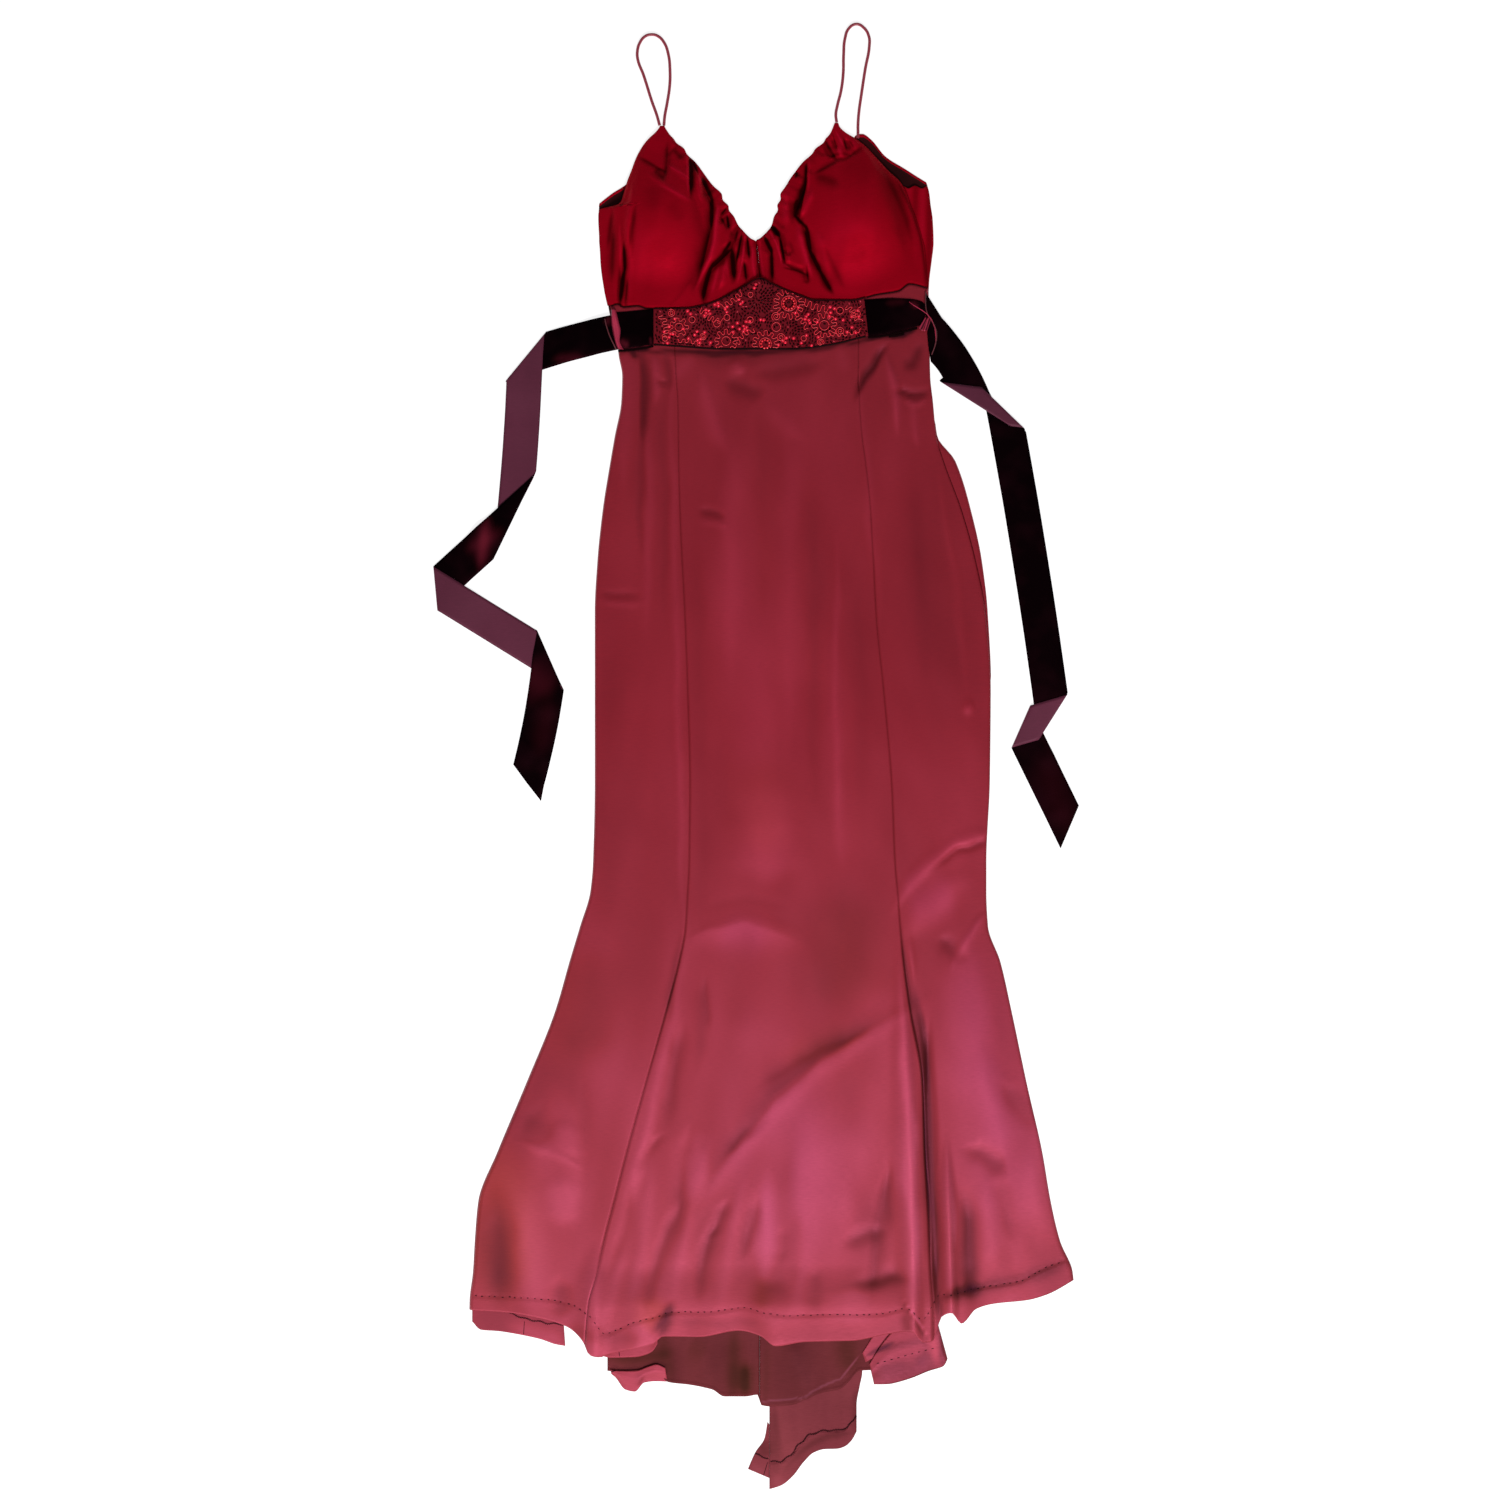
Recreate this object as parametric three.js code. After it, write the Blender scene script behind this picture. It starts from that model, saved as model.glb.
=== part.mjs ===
// A beaded evening gown lying face up on a flat surface: gathered cups on two cord straps, a raised
// waist with a beaded panel, two long velvet ribbon ties, and a princess-seamed skirt with a flared hem
// and a short train. Millimetres, +Z up from the surface, +Y towards the shoulders, +X to the right.
import * as THREE from "three";

// ---------- Driving sizes ----------
const SATIN = 1.5; // wall of the satin with its underlining
const LINING = 1; // wall of the thin lining
const RIBBON = 1.2; // wall of the velvet ribbon
const RIBBON_WIDTH = 40.5;
const STRAP = 3.4; // diameter of the cord straps
const CARRIER = 1.4; // diameter of the thread loops that hold the ribbon at the side seams
const SEAM = 0.4; // gap left between two sewn pieces
const LAYER = SATIN + 0.3; // one layer of satin with the gap above it
const FRONT = LAYER + SATIN; // top of a front panel where it lies down on the back

// ---------- Finishes ----------
const finish = (colour, roughness) => new THREE.MeshStandardMaterial({ color: colour, roughness, metalness: 0 });
const SATIN_RED = finish(0x8c0a18, 0.38);
const SATIN_WINE = finish(0x90303a, 0.42);
const SATIN_WRONG = finish(0x8a3f45, 0.7);
const LINING_WINE = finish(0x6b2b31, 0.6);
const BEADING = finish(0x6e161c, 0.5);
const VELVET = finish(0x14060a, 0.9);
const CORD = finish(0xa03c46, 0.5);

// ---------- Tables and curves ----------
const table = (columns, rows) => {
  const names = columns.split(" ");
  return rows.map((row) => Object.fromEntries(names.map((name, i) => [name, row[i]])));
};
const clamp = (t) => Math.min(1, Math.max(0, t));
const ease = (t) => clamp(t) ** 2 * (3 - 2 * clamp(t));
const mix = (a, b, t) => a + (b - a) * t;

// A smooth curve through one column of a table against another, which never overshoots its rows.
function curve(rows, from, to) {
  const list = [...rows].sort((a, b) => a[from] - b[from]);
  const x = list.map((row) => row[from]);
  const y = list.map((row) => row[to]);
  const slope = x.slice(1).map((_, i) => (y[i + 1] - y[i]) / (x[i + 1] - x[i]));
  const tangent = x.map((_, i) => {
    const before = slope[i - 1] ?? slope[i];
    const after = slope[i] ?? slope[i - 1];
    return before * after <= 0 ? 0 : (2 * before * after) / (before + after);
  });
  return (at) => {
    let i = 0;
    while (i < x.length - 2 && at > x[i + 1]) i += 1;
    const step = x[i + 1] - x[i];
    const t = clamp((at - x[i]) / step);
    const h = t * t * (3 - 2 * t);
    return mix(y[i], y[i + 1], h) + step * t * (1 - t) * ((1 - t) * tangent[i] - t * tangent[i + 1]);
  };
}

// Height that a list of soft folds adds at a place: each runs from one point to another, bowed
// sideways by bow, with a rounded section of its width that fades out towards both ends.
const foldHeight = (folds) => (x, y) =>
  folds.reduce((sum, fold) => {
    const dx = fold.x1 - fold.x0;
    const dy = fold.y1 - fold.y0;
    const length = Math.hypot(dx, dy);
    const along = ((x - fold.x0) * dx + (y - fold.y0) * dy) / length ** 2;
    const fade = ease((along + 0.25) / 0.5) * ease((1.25 - along) / 0.5);
    const bowed = fold.bow * 4 * along * (1 - along);
    const across = ((x - fold.x0) * dy - (y - fold.y0) * dx) / length - bowed;
    return sum + fold.height * fade * Math.exp(-((across / fold.width) ** 2));
  }, 0);

// ---------- Solids ----------
const gown = new THREE.Group();

// A closed cloth wall: outer and inner give the points of its two faces for u and v from 0 to 1.
function wall(name, material, columns, rows, outer, inner) {
  const points = [];
  for (const face of [outer, inner])
    for (let j = 0; j <= rows; j += 1)
      for (let i = 0; i <= columns; i += 1) points.push(...face(i / columns, j / rows));
  const at = (side, i, j) => side * (columns + 1) * (rows + 1) + j * (columns + 1) + i;
  const faces = [];
  const quad = (a, b, c, d) => faces.push(a, b, c, a, c, d);
  for (let j = 0; j < rows; j += 1)
    for (let i = 0; i < columns; i += 1) {
      quad(at(0, i, j), at(0, i + 1, j), at(0, i + 1, j + 1), at(0, i, j + 1));
      quad(at(1, i, j), at(1, i, j + 1), at(1, i + 1, j + 1), at(1, i + 1, j));
    }
  for (let i = 0; i < columns; i += 1) {
    quad(at(0, i + 1, 0), at(0, i, 0), at(1, i, 0), at(1, i + 1, 0));
    quad(at(0, i, rows), at(0, i + 1, rows), at(1, i + 1, rows), at(1, i, rows));
  }
  for (let j = 0; j < rows; j += 1) {
    quad(at(0, 0, j), at(0, 0, j + 1), at(1, 0, j + 1), at(1, 0, j));
    quad(at(0, columns, j + 1), at(0, columns, j), at(1, columns, j), at(1, columns, j + 1));
  }
  if (volumeOf(points, faces) < 0) faces.reverse();
  const geometry = new THREE.BufferGeometry();
  geometry.setAttribute("position", new THREE.Float32BufferAttribute(points, 3));
  geometry.setIndex(faces);
  geometry.computeVertexNormals();
  const mesh = new THREE.Mesh(geometry, material);
  mesh.name = name;
  gown.add(mesh);
}

function volumeOf(points, faces) {
  const corner = (k) => new THREE.Vector3().fromArray(points, faces[k] * 3);
  let volume = 0;
  for (let k = 0; k < faces.length; k += 3) volume += corner(k).dot(corner(k + 1).cross(corner(k + 2))) / 6;
  return volume;
}

// A panel that lies on the layers below it: plan gives x and y, top gives the height of its upper face.
function panel(name, material, columns, rows, plan, top, thickness, bottom) {
  const upper = (u, v) => {
    const [x, y] = plan(u, v);
    return [x, y, top(x, y, u, v)];
  };
  const lower = (u, v) => {
    const [x, y] = plan(u, v);
    return [x, y, bottom ? bottom(x, y, u, v) : top(x, y, u, v) - thickness];
  };
  wall(name, material, columns, rows, upper, lower);
}

// The plan of a panel between two side curves of y and two end curves of x.
const between = (left, right, head, foot) => (u, v) => {
  const spot = mix(left(mix(head(0), foot(0), v)), right(mix(head(0), foot(0), v)), u);
  const y = mix(head(spot), foot(spot), v);
  return [mix(left(y) + SEAM / 2, right(y) - SEAM / 2, u), y];
};

// ---------- Outlines ----------
// The front's long seams, from the waist to the hem; back is the edge of the back where it rolls
// out past the right side seam at the hip.
const SKIRT = table("y left seamLeft seamRight right back", [
  [558, -158, -94, 118, 200, 200],
  [523, -158, -93, 118, 200, 200],
  [494, -153.5, -91.5, 118, 200.5, 200.5],
  [465, -154.5, -89.5, 119, 203.5, 203.5],
  [425, -162, -89, 122, 207.5, 208],
  [396, -167, -88.5, 126, 216, 229],
  [339, -176, -87, 132, 237, 247],
  [281, -182, -84.5, 135, 253, 259.5],
  [223, -185, -81.5, 138, 264, 266],
  [132, -185, -78, 147, 270, 270],
  [28, -185, -75.5, 156, 269, 269],
  [-64, -187, -76.5, 160, 265, 265],
  [-98, -190, -78, 163, 265, 265],
  [-139, -202, -80.5, 166, 267, 267],
  [-179, -214, -88, 170, 281, 281],
  [-236, -230.5, -103, 178, 294, 294],
  [-317, -263, -126, 192, 311, 311],
  [-397, -296.5, -148, 195, 329, 329],
  [-455, -319, -163, 198.5, 339, 339],
  [-501, -323, -175, 200, 350, 350],
  [-535, -325, -182, 201, 364, 364],
  [-570, -329, -192, 203, 367, 367],
  [-640, -330, -198, 204, 368, 368],
]);
const skirtEdge = (name) => curve(SKIRT, "y", name);
const sideLeft = skirtEdge("left");
const seamLeft = skirtEdge("seamLeft");
const seamRight = skirtEdge("seamRight");
const sideRight = skirtEdge("right");
const backRight = skirtEdge("back");

// The lower edge of the cups, which rises to a point at the centre; the beaded panel follows it.
const BUST = table("x y", [
  [-181, 575],
  [-148.5, 573],
  [-110.5, 571],
  [-81, 571],
  [-63.5, 573.5],
  [-46, 579],
  [-28, 588],
  [-10.5, 598],
  [5.5, 605.5],
  [17.5, 599.5],
  [35.5, 591.5],
  [52.5, 585],
  [68.5, 580],
  [108, 580],
  [139, 587],
  [164, 591.5],
  [177, 599.5],
  [201, 594],
]);
const bustLine = curve(BUST, "x", "y");

// The seam between bodice and skirt, hidden under the beaded panel, and the panel's lower edge.
const WAIST = table("x seam edge", [
  [-179.5, 534, 525],
  [-117.5, 536.5, 529],
  [-94.5, 534, 527.5],
  [-35, 532, 524],
  [42, 532, 524],
  [82.5, 536.5, 528.5],
  [128.5, 547, 539],
  [164, 555, 547],
  [202, 559.5, 551.5],
]);
const waistSeam = curve(WAIST, "x", "seam");
const BACK_WAIST = 536.5; // the back's waist seam is straight
const waistEdge = curve(WAIST, "x", "edge");

// Hems: the front's edge across its three panels, and the back's edge, which the front hides.
const HEM = table("x front", [
  [-330.5, -579],
  [-282, -582],
  [-247, -588],
  [-216.5, -597.5],
  [-198, -613.5],
  [-190.5, -628.5],
  [-178.5, -631],
  [-167, -627.5],
  [-136.5, -620.5],
  [-117.5, -616],
  [-106, -607.5],
  [-66, -608],
  [-19, -601],
  [5.5, -606.5],
  [22.5, -618],
  [57.5, -613.5],
  [110.5, -612.5],
  [149, -605],
  [179, -601],
  [191.5, -614.5],
  [202, -613.5],
  [213.5, -585],
  [224, -580],
  [235.5, -593],
  [253, -576.5],
  [274.5, -571],
  [311.5, -567.5],
  [335, -561],
  [367.5, -543.5],
]);
const frontHem = curve(HEM, "x", "front");
const BACK_HEM = table("x y", [
  [-330.5, -568.5],
  [-174, -568.5],
  [-76, -590.5],
  [4.5, -590.5],
  [119.5, -590.5],
  [200, -570],
  [280.5, -551.5],
  [367.5, -526],
]);
const backHem = curve(BACK_HEM, "x", "y");

// ---------- Skirt ----------
// Soft folds of the skirt front. Hem flutes are the tall ones at the bottom.
const FOLD_COLUMNS = "x0 y0 x1 y1 bow width height";
const SKIRT_FOLDS = table(FOLD_COLUMNS, [
  [-133.5, 520.5, -132.5, 384.5, 0, 8, -2.5],
  [-125.5, 419, -124.5, 235, 0, 9, 2],
  [-92.5, 442, -77.5, 74, 0, 8, 1.6],
  [-40.5, 488, -5, 468.5, 0, 9, -2],
  [25, 513.5, 63, 481.5, 0, 10, -2.4],
  [121.5, 506.5, 147, 473, 0, 10, -2.2],
  [-30, 430.5, -29, 120, 0, 16, 2],
  [39, 430.5, 40, 212, 0, 14, 2],
  [67.5, 235, 68.5, 5, 0, 14, -2],
  [91.5, 281, 94, -41, 0, 14, 2.2],
  [170, -121.5, 269, -33, 8, 17, 4.5],
  [174.5, -153.5, 269, -84.5, 8, 15, -3],
  [266.5, -137.5, 216, -204, 6, 15, 2.6],
  [-21, -409, 156, -250, -8, 20, 4],
  [-32.5, -392.5, 142.5, -234, -8, 17, -3],
  [-153.5, -443.5, -158, -558.5, 0, 12, -2.6],
  [-115.5, -461.5, -115.5, -547, 0, 11, -2.2],
  [-62.5, -353.5, -83, -455, 0, 12, -2.2],
  [-83, -455, -87.5, -535.5, 0, 11, -2.2],
  [-53, -480, -60, -560.5, 0, 10, -2.2],
  [132, -449, 126, -560.5, 0, 11, -2.4],
  [-184.5, -526, -188, -639, 0, 13, 5],
  [-133.5, -552.5, -132.5, -629.5, 0, 14, 3],
  [22.5, -558.5, 24, -627.5, 0, 24, 4],
  [182.5, -311, 178, -616, 4, 14, 9],
  [201, -294, 198.5, -621.5, 0, 8, -6],
  [226, -432, 226, -590.5, 0, 12, 7],
  [241, -466.5, 242.5, -604.5, 0, 9, -4],
  [255, -392.5, 288.5, -418, 0, 10, -2.4],
  [283.5, -314.5, 287, -356, 0, 10, -2.4],
  [-254.5, -386, -205, -399.5, 0, 14, -1.8],
  [-315.5, -466.5, -281, -542, 0, 16, -1.8],
]);
const skirtFolds = foldHeight(SKIRT_FOLDS);

const CROWN = 5; // how far the front stands off the back between its side folds
const HEM_LIFT = 4.8; // how far the front's hem stands on the folded layers under it

const crown = (x, y) => {
  const across = clamp((x - sideLeft(y)) / (sideRight(y) - sideLeft(y)));
  return CROWN * (1 - Math.abs(2 * across - 1) ** 4);
};
const hemLift = (x, y) =>
  HEM_LIFT * ease((-526 - y) / 50) * ease((x - -216.5) / 36) * ease((269 - x) / 34);
const frontTop = (x, y) => FRONT + Math.max(0, crown(x, y) + skirtFolds(x, y)) + hemLift(x, y);

// Rows crowd together towards the hem, where the folds are.
const SKIRT_ROWS = 36;
const towardsHem = (v) => v * (1.35 - 0.35 * v);
const skirtPlan = (left, right) => (u, v) =>
  between(left, right, (x) => waistSeam(x) - SEAM, frontHem)(u, towardsHem(v));
const frontPanel = (name, left, right, columns) =>
  panel(name, SATIN_WINE, columns, SKIRT_ROWS, skirtPlan(left, right), frontTop, SATIN);

frontPanel("skirt_side_left", sideLeft, seamLeft, 7);
frontPanel("skirt_center", seamLeft, seamRight, 13);
frontPanel("skirt_side_right", seamRight, sideRight, 8);

// The skirt back lies flat under the front; its last column rolls up where it shows at the right hip.
const BACK_ROLL = 2.2;
const BACK_COLUMNS = 9;
const backInner = (y) => Math.min(sideRight(y) + 2.2, backRight(y) - 4);
const backPlan = (u, v) => {
  const [x, y] = between(sideLeft, backRight, () => BACK_WAIST - SEAM, backHem)(u, v);
  const inner = (BACK_COLUMNS - 1) / BACK_COLUMNS;
  return [u > inner + 0.01 ? x : mix(sideLeft(y), backInner(y), u / inner), y];
};
const backTop = (x, y, u) => SATIN + (u === 1 ? BACK_ROLL * ease((backRight(y) - sideRight(y) - 2) / 6) : 0);
panel("skirt_back", SATIN_WINE, BACK_COLUMNS, 24, backPlan, backTop, SATIN, () => 0);

// ---------- Hem layers and train ----------
// A strip of cloth that runs through cross sections, each from its inner edge to its outer one, with
// the height of the cloth's underside at both; it steps down to the outer height past the first third.
const STRIP_COLUMNS = "x0 y0 x1 y1 z0 z1";
function strip(name, material, columns, rows, sections, thickness) {
  const numbered = sections.map((section, index) => ({ index, ...section }));
  const value = (key) => curve(numbered, "index", key);
  const [x0, y0, x1, y1, z0, z1] = STRIP_COLUMNS.split(" ").map(value);
  const last = sections.length - 1;
  const face = (lift) => (u, v) => {
    const at = v * last;
    const height = mix(z0(at), z1(at), ease((u - 0.3) / 0.7));
    return [mix(x0(at), x1(at), u), mix(y0(at), y1(at), u), height + lift];
  };
  wall(name, material, columns, rows, face(thickness), face(0));
}

const SECOND = LAYER + LINING + 0.5; // height of what lies on the lining
const THIRD = SECOND + SATIN; // height of what lies on a turned hem

const BACK_HEM_LEFT = table("x0 x1 y1", [
  [-326, -326, -593],
  [-315.5, -315.5, -602.5],
  [-296, -296, -604],
  [-263.5, -263.5, -609.5],
  [-246.5, -246.5, -613.5],
  [-230.5, -230.5, -619],
  [-222.5, -219, -621],
]).map((row) => ({ ...row, y0: backHem(row.x0) - SEAM, z0: 0, z1: 0 }));
strip("back_hem_left", SATIN_WINE, 3, 18, BACK_HEM_LEFT, SATIN);

const HEM_FLUTE_LEFT = table(STRIP_COLUMNS, [
  [-177.5, -604.5, -178.5, -631, SECOND, SECOND],
  [-167, -598.5, -167, -633.5, SECOND, SECOND],
  [-138.5, -590.5, -139, -633, SECOND, SECOND],
  [-121, -583.5, -120, -627.5, SECOND, SECOND],
  [-112, -581.5, -113, -618, SECOND, SECOND],
]);
strip("hem_flute_left", SATIN_WINE, 4, 12, HEM_FLUTE_LEFT, SATIN);

const HEM_TURN_LEFT = table(STRIP_COLUMNS, [
  [-167, -648, -165.5, -652.5, SECOND, SECOND],
  [-159, -649, -160, -658.5, SECOND, 0],
  [-146.5, -649, -150, -671, SECOND, 0],
  [-136, -648.5, -139, -673.5, SECOND, 0],
  [-124.5, -644.5, -128, -663, SECOND, 0],
  [-114, -641.5, -116.5, -661.5, SECOND, 0],
  [-104, -645.5, -101.5, -662, SECOND, 0],
]);
strip("hem_turn_left", SATIN_WRONG, 4, 12, HEM_TURN_LEFT, 1.2);

const HEM_FLUTE_RIGHT = table(STRIP_COLUMNS, [
  [134, -645.5, 136, -665, THIRD, 0],
  [148, -619.5, 151.5, -664.5, THIRD, 0],
  [167.5, -595, 177, -658.5, THIRD, 0],
  [186, -590.5, 198.5, -650, THIRD, 0],
  [200, -590.5, 216, -643.5, THIRD, 0],
  [208, -590.5, 220.5, -635.5, THIRD, 0],
]);
strip("hem_flute_right", SATIN_WINE, 5, 16, HEM_FLUTE_RIGHT, SATIN);

const HEM_TURN_RIGHT = table(STRIP_COLUMNS, [
  [144.5, -590.5, 171, -598.5, SECOND, SECOND],
  [133, -611, 159.5, -619.5, SECOND, SECOND],
  [122.5, -628.5, 126, -639, SECOND, SECOND],
]);
strip("hem_turn_right", SATIN_WRONG, 4, 8, HEM_TURN_RIGHT, 1.2);

// The lining hangs below the front's hem; its rolled edge lies on the surface or on the train.
const LINING_HEM = table("x y", [
  [-170.5, -645.5],
  [-137, -649],
  [-116.5, -649],
  [-109.5, -655],
  [-100.5, -662.5],
  [-76, -665.5],
  [-50, -671],
  [-36, -679],
  [-12, -679],
  [2, -677],
  [6.5, -688.5],
  [16, -690],
  [40, -688.5],
  [54.5, -683.5],
  [75.5, -674.5],
  [96.5, -670],
  [106.5, -662],
  [119.5, -649],
  [139, -648],
]);
const liningHem = curve(LINING_HEM, "x", "y");
const LINING_HEAD = -576.5;
const LINING_SPLIT = 4.5;
const LINING_FOLDS = table(FOLD_COLUMNS, [
  [-64.5, -604.5, -58, -675.5, 0, 8, 3],
  [-25.5, -604.5, -29, -682.5, 0, 7, 2.5],
  [41, -604.5, 36.5, -689.5, 0, 8, 2.5],
  [80, -604.5, 71, -678, 0, 8, 3],
]);
const liningFolds = foldHeight(LINING_FOLDS);
const settle = (y) => LAYER * (1 - ease((-597.5 - y) / 26));
const liningPanel = (name, left, right, base) =>
  panel(
    name,
    LINING_WINE,
    9,
    7,
    between(() => left, () => right, () => LINING_HEAD, liningHem),
    (x, y) => base(y) + LINING + liningFolds(x, y),
    LINING,
    (x, y) => base(y) + Math.max(0, liningFolds(x, y)),
  );
liningPanel("lining_back", -170.5, LINING_SPLIT, settle);
liningPanel("lining_train", LINING_SPLIT, 139, () => LAYER);

const TRAIN = table("x overlock hem", [
  [16, -754, -785.5],
  [29.5, -753, -781],
  [43.5, -743.5, -769.5],
  [54.5, -729.5, -755],
  [66.5, -720.5, -743.5],
  [79, -718, -739.5],
  [93, -718, -739],
  [102, -716.5, -736.5],
  [110.5, -706.5, -729],
  [117, -699, -717],
]);
const trainOverlock = curve(TRAIN, "x", "overlock");
const trainHem = curve(TRAIN, "x", "hem");
const TRAIN_SIDE = table("y x", [
  [-590.5, 121.5],
  [-650.5, 122.5],
  [-667.5, 119.5],
  [-688.5, 116],
  [-719.5, 116],
  [-788.5, 116],
]);
const trainRight = curve(TRAIN_SIDE, "y", "x");
const trainLeft = () => 16;
const HEM_AT = 0.7; // the share of the train's rows above its turned-up hem
const trainPlan = (u, v) => {
  const body = between(trainLeft, trainRight, (x) => backHem(x) - SEAM, trainOverlock);
  const hem = between(trainLeft, trainRight, trainOverlock, trainHem);
  return v < HEM_AT ? body(u, v / HEM_AT) : hem(u, (v - HEM_AT) / (1 - HEM_AT));
};
const trainTop = (x, y, u, v) => SATIN + SATIN * ease((v - HEM_AT) / 0.1);
panel("train", SATIN_WRONG, 9, 14, trainPlan, trainTop, SATIN, () => 0);

const TRAIN_FLAP = table(STRIP_COLUMNS, [
  [13.5, -708.5, 15.5, -711.5, 0, 0],
  [10, -727.5, 15.5, -729.5, 0, 0],
  [-0.5, -743.5, 15.5, -749, 0, 0],
  [-9, -762.5, 15.5, -773, 0, 0],
]);
strip("train_flap", SATIN_WRONG, 3, 10, TRAIN_FLAP, SATIN);

// ---------- Bodice ----------
// Both cups from below the bust line to the straps: outer edge, then neckline or centre seam.
const CUPS = table("y outerLeft innerLeft innerRight outerRight", [
  [568.5, -169, 6, 6, 198.5],
  [594, -174.5, 5.5, 5.5, 197.5],
  [621.5, -178, 4, 4, 196],
  [642.5, -179.5, 1.5, 1.5, 194],
  [649, -180, 0, 0, 192.5],
  [652.5, -180, -6.5, 5.5, 191.5],
  [663, -180.5, -16, 15, 188.5],
  [677, -181, -26, 22, 183.5],
  [685, -180, -30, 24.5, 180],
  [687, -176, -31, 25, 179],
  [689, -161.5, -32, 25.5, 178.5],
  [693, -155, -35, 26.5, 177],
  [704.5, -151, -41, 30, 173],
  [716, -148, -51, 36, 166.5],
  [729.5, -143, -62, 46.5, 152],
  [744.5, -137.5, -74.5, 59.5, 138.5],
  [757.5, -130.5, -85.5, 72, 126.5],
  [766.5, -123.5, -95, 81, 115.5],
  [774.5, -115, -101, 86.5, 102.5],
  [780.5, -110.5, -104.5, 89, 96.5],
  [786, -109, -105.5, 91, 94.5],
]);
const cupEdge = (name) => curve(CUPS, "y", name);
const APEX_LEFT = 781;
const APEX_RIGHT = 784.5;

// The gathers and pad edges of the cups.
const CUP_FOLDS = table(FOLD_COLUMNS, [
  [-78.5, 750.5, -76, 700, 0, 8, -2.5],
  [-66, 724, -68, 597.5, 16, 9, -3],
  [-51, 689.5, -58, 612.5, 4, 7, 2.5],
  [-33.5, 678, -37, 637.5, 0, 8, -3],
  [-32.5, 635.5, -61.5, 585, 4, 8, -3],
  [-17.5, 649, -27, 603, 0, 7, 2.5],
  [-152, 649, -152, 580, 0, 8, -2],
  [62, 747, 52.5, 674.5, -3, 9, -3],
  [55, 675.5, 89.5, 598.5, -6, 9, -3],
  [39, 704.5, 40, 670, 0, 10, -3],
  [25, 663, 27.5, 621.5, 0, 7, -2.5],
  [32, 621.5, 60.5, 608, 0, 7, 2],
  [16, 642.5, 16, 603, 0, 7, 2],
  [167.5, 706.5, 165.5, 642.5, 0, 8, -2],
]);
const cupFolds = foldHeight(CUP_FOLDS);

// Each cup stands over its pad in a low dome.
const PADS = table("x y wide high lift", [
  [-112, 662, 62, 76, 22],
  [116, 670, 62, 80, 22],
]);
const padLift = (x, y) =>
  PADS.reduce((sum, pad) => {
    const away = Math.min(1, ((x - pad.x) / pad.wide) ** 2 + ((y - pad.y) / pad.high) ** 2);
    return sum + pad.lift * (1 - away) ** 2;
  }, 0);
const CUP_EDGE = 4; // how far a cup stands off the back just inside its edges
const cupTop = (outerAtZero) => (x, y, u, v) => {
  const inwards = outerAtZero ? u : 1 - u;
  const outer = ease(inwards / 0.15);
  const inner = 1 - 0.7 * ease((inwards - 0.85) / 0.15);
  const edge = CUP_EDGE * outer * inner * (1 - 0.6 * v ** 6);
  return FRONT + Math.max(0, edge + padLift(x, y) + cupFolds(x, y));
};
const CUP_COLUMNS = 18;
const CUP_ROWS = 20;
const cupPlan = (left, right, apex) => between(left, right, (x) => bustLine(x) + SEAM / 2, () => apex);
const leftCup = cupPlan(cupEdge("outerLeft"), cupEdge("innerLeft"), APEX_LEFT);
const rightCup = cupPlan(cupEdge("innerRight"), cupEdge("outerRight"), APEX_RIGHT);
panel("cup_left", SATIN_RED, CUP_COLUMNS, CUP_ROWS, leftCup, cupTop(true), SATIN);
panel("cup_right", SATIN_RED, CUP_COLUMNS, CUP_ROWS, rightCup, cupTop(false), SATIN);

// The back of the bodice rises to a point behind each strap and dips between them; its right side
// rolls forward past the side seam.
const BACK_SIDES = table("y left right", [
  [532, -159, 199],
  [568.5, -168.5, 199],
  [580, -170.5, 198.5],
  [603, -176, 199.5],
  [624, -178.5, 202],
  [648, -179.5, 204.5],
  [673.5, -181, 203.5],
  [691.5, -180, 201],
  [704.5, -179.5, 199.5],
  [717, -179.5, 196],
]);
const backSide = (name) => curve(BACK_SIDES, "y", name);
const BACK_NECK = table("x y", [
  [-181, 691.5],
  [-165, 704],
  [-148.5, 715],
  [-133.5, 737.5],
  [-120, 760.5],
  [-109.5, 773.5],
  [-101.5, 757.5],
  [-87.5, 732],
  [-70.5, 704.5],
  [-51, 670],
  [-24.5, 637.5],
  [1, 624],
  [33, 637.5],
  [56, 665.5],
  [75.5, 700],
  [94, 734.5],
  [108, 760.5],
  [117, 772],
  [122.5, 772.5],
  [132.5, 766],
  [149, 746.5],
  [171, 732.5],
  [196.5, 716.5],
  [205.5, 711.5],
]);
const backNeck = curve(BACK_NECK, "x", "y");
panel(
  "bodice_back",
  LINING_WINE,
  28,
  4,
  between(backSide("left"), backSide("right"), () => BACK_WAIST, backNeck),
  () => SATIN,
  SATIN,
);

const SIDE_TOP = 712;
panel(
  "bodice_side_right",
  SATIN_RED,
  3,
  10,
  between(cupEdge("outerRight"), backSide("right"), () => 595, () => SIDE_TOP),
  (x, y, u) => FRONT + Math.sin(Math.PI * u),
  SATIN,
);

// ---------- Waist ----------
// The midriff's upper edge takes its points from the cups' lower edges.
const midriffPlan = (u, v) => {
  const [x, y] = u < 0.5 ? leftCup(2 * u, 0) : rightCup(2 * u - 1, 0);
  const low = mix(backSide("left")(539) + SEAM / 2, backSide("right")(539) - SEAM / 2, u);
  return [mix(x, low, v), mix(y - SEAM, waistSeam(low) + SEAM / 2, v)];
};
panel("midriff", SATIN_WINE, 2 * CUP_COLUMNS, 2, midriffPlan, frontTop, SATIN);

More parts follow.
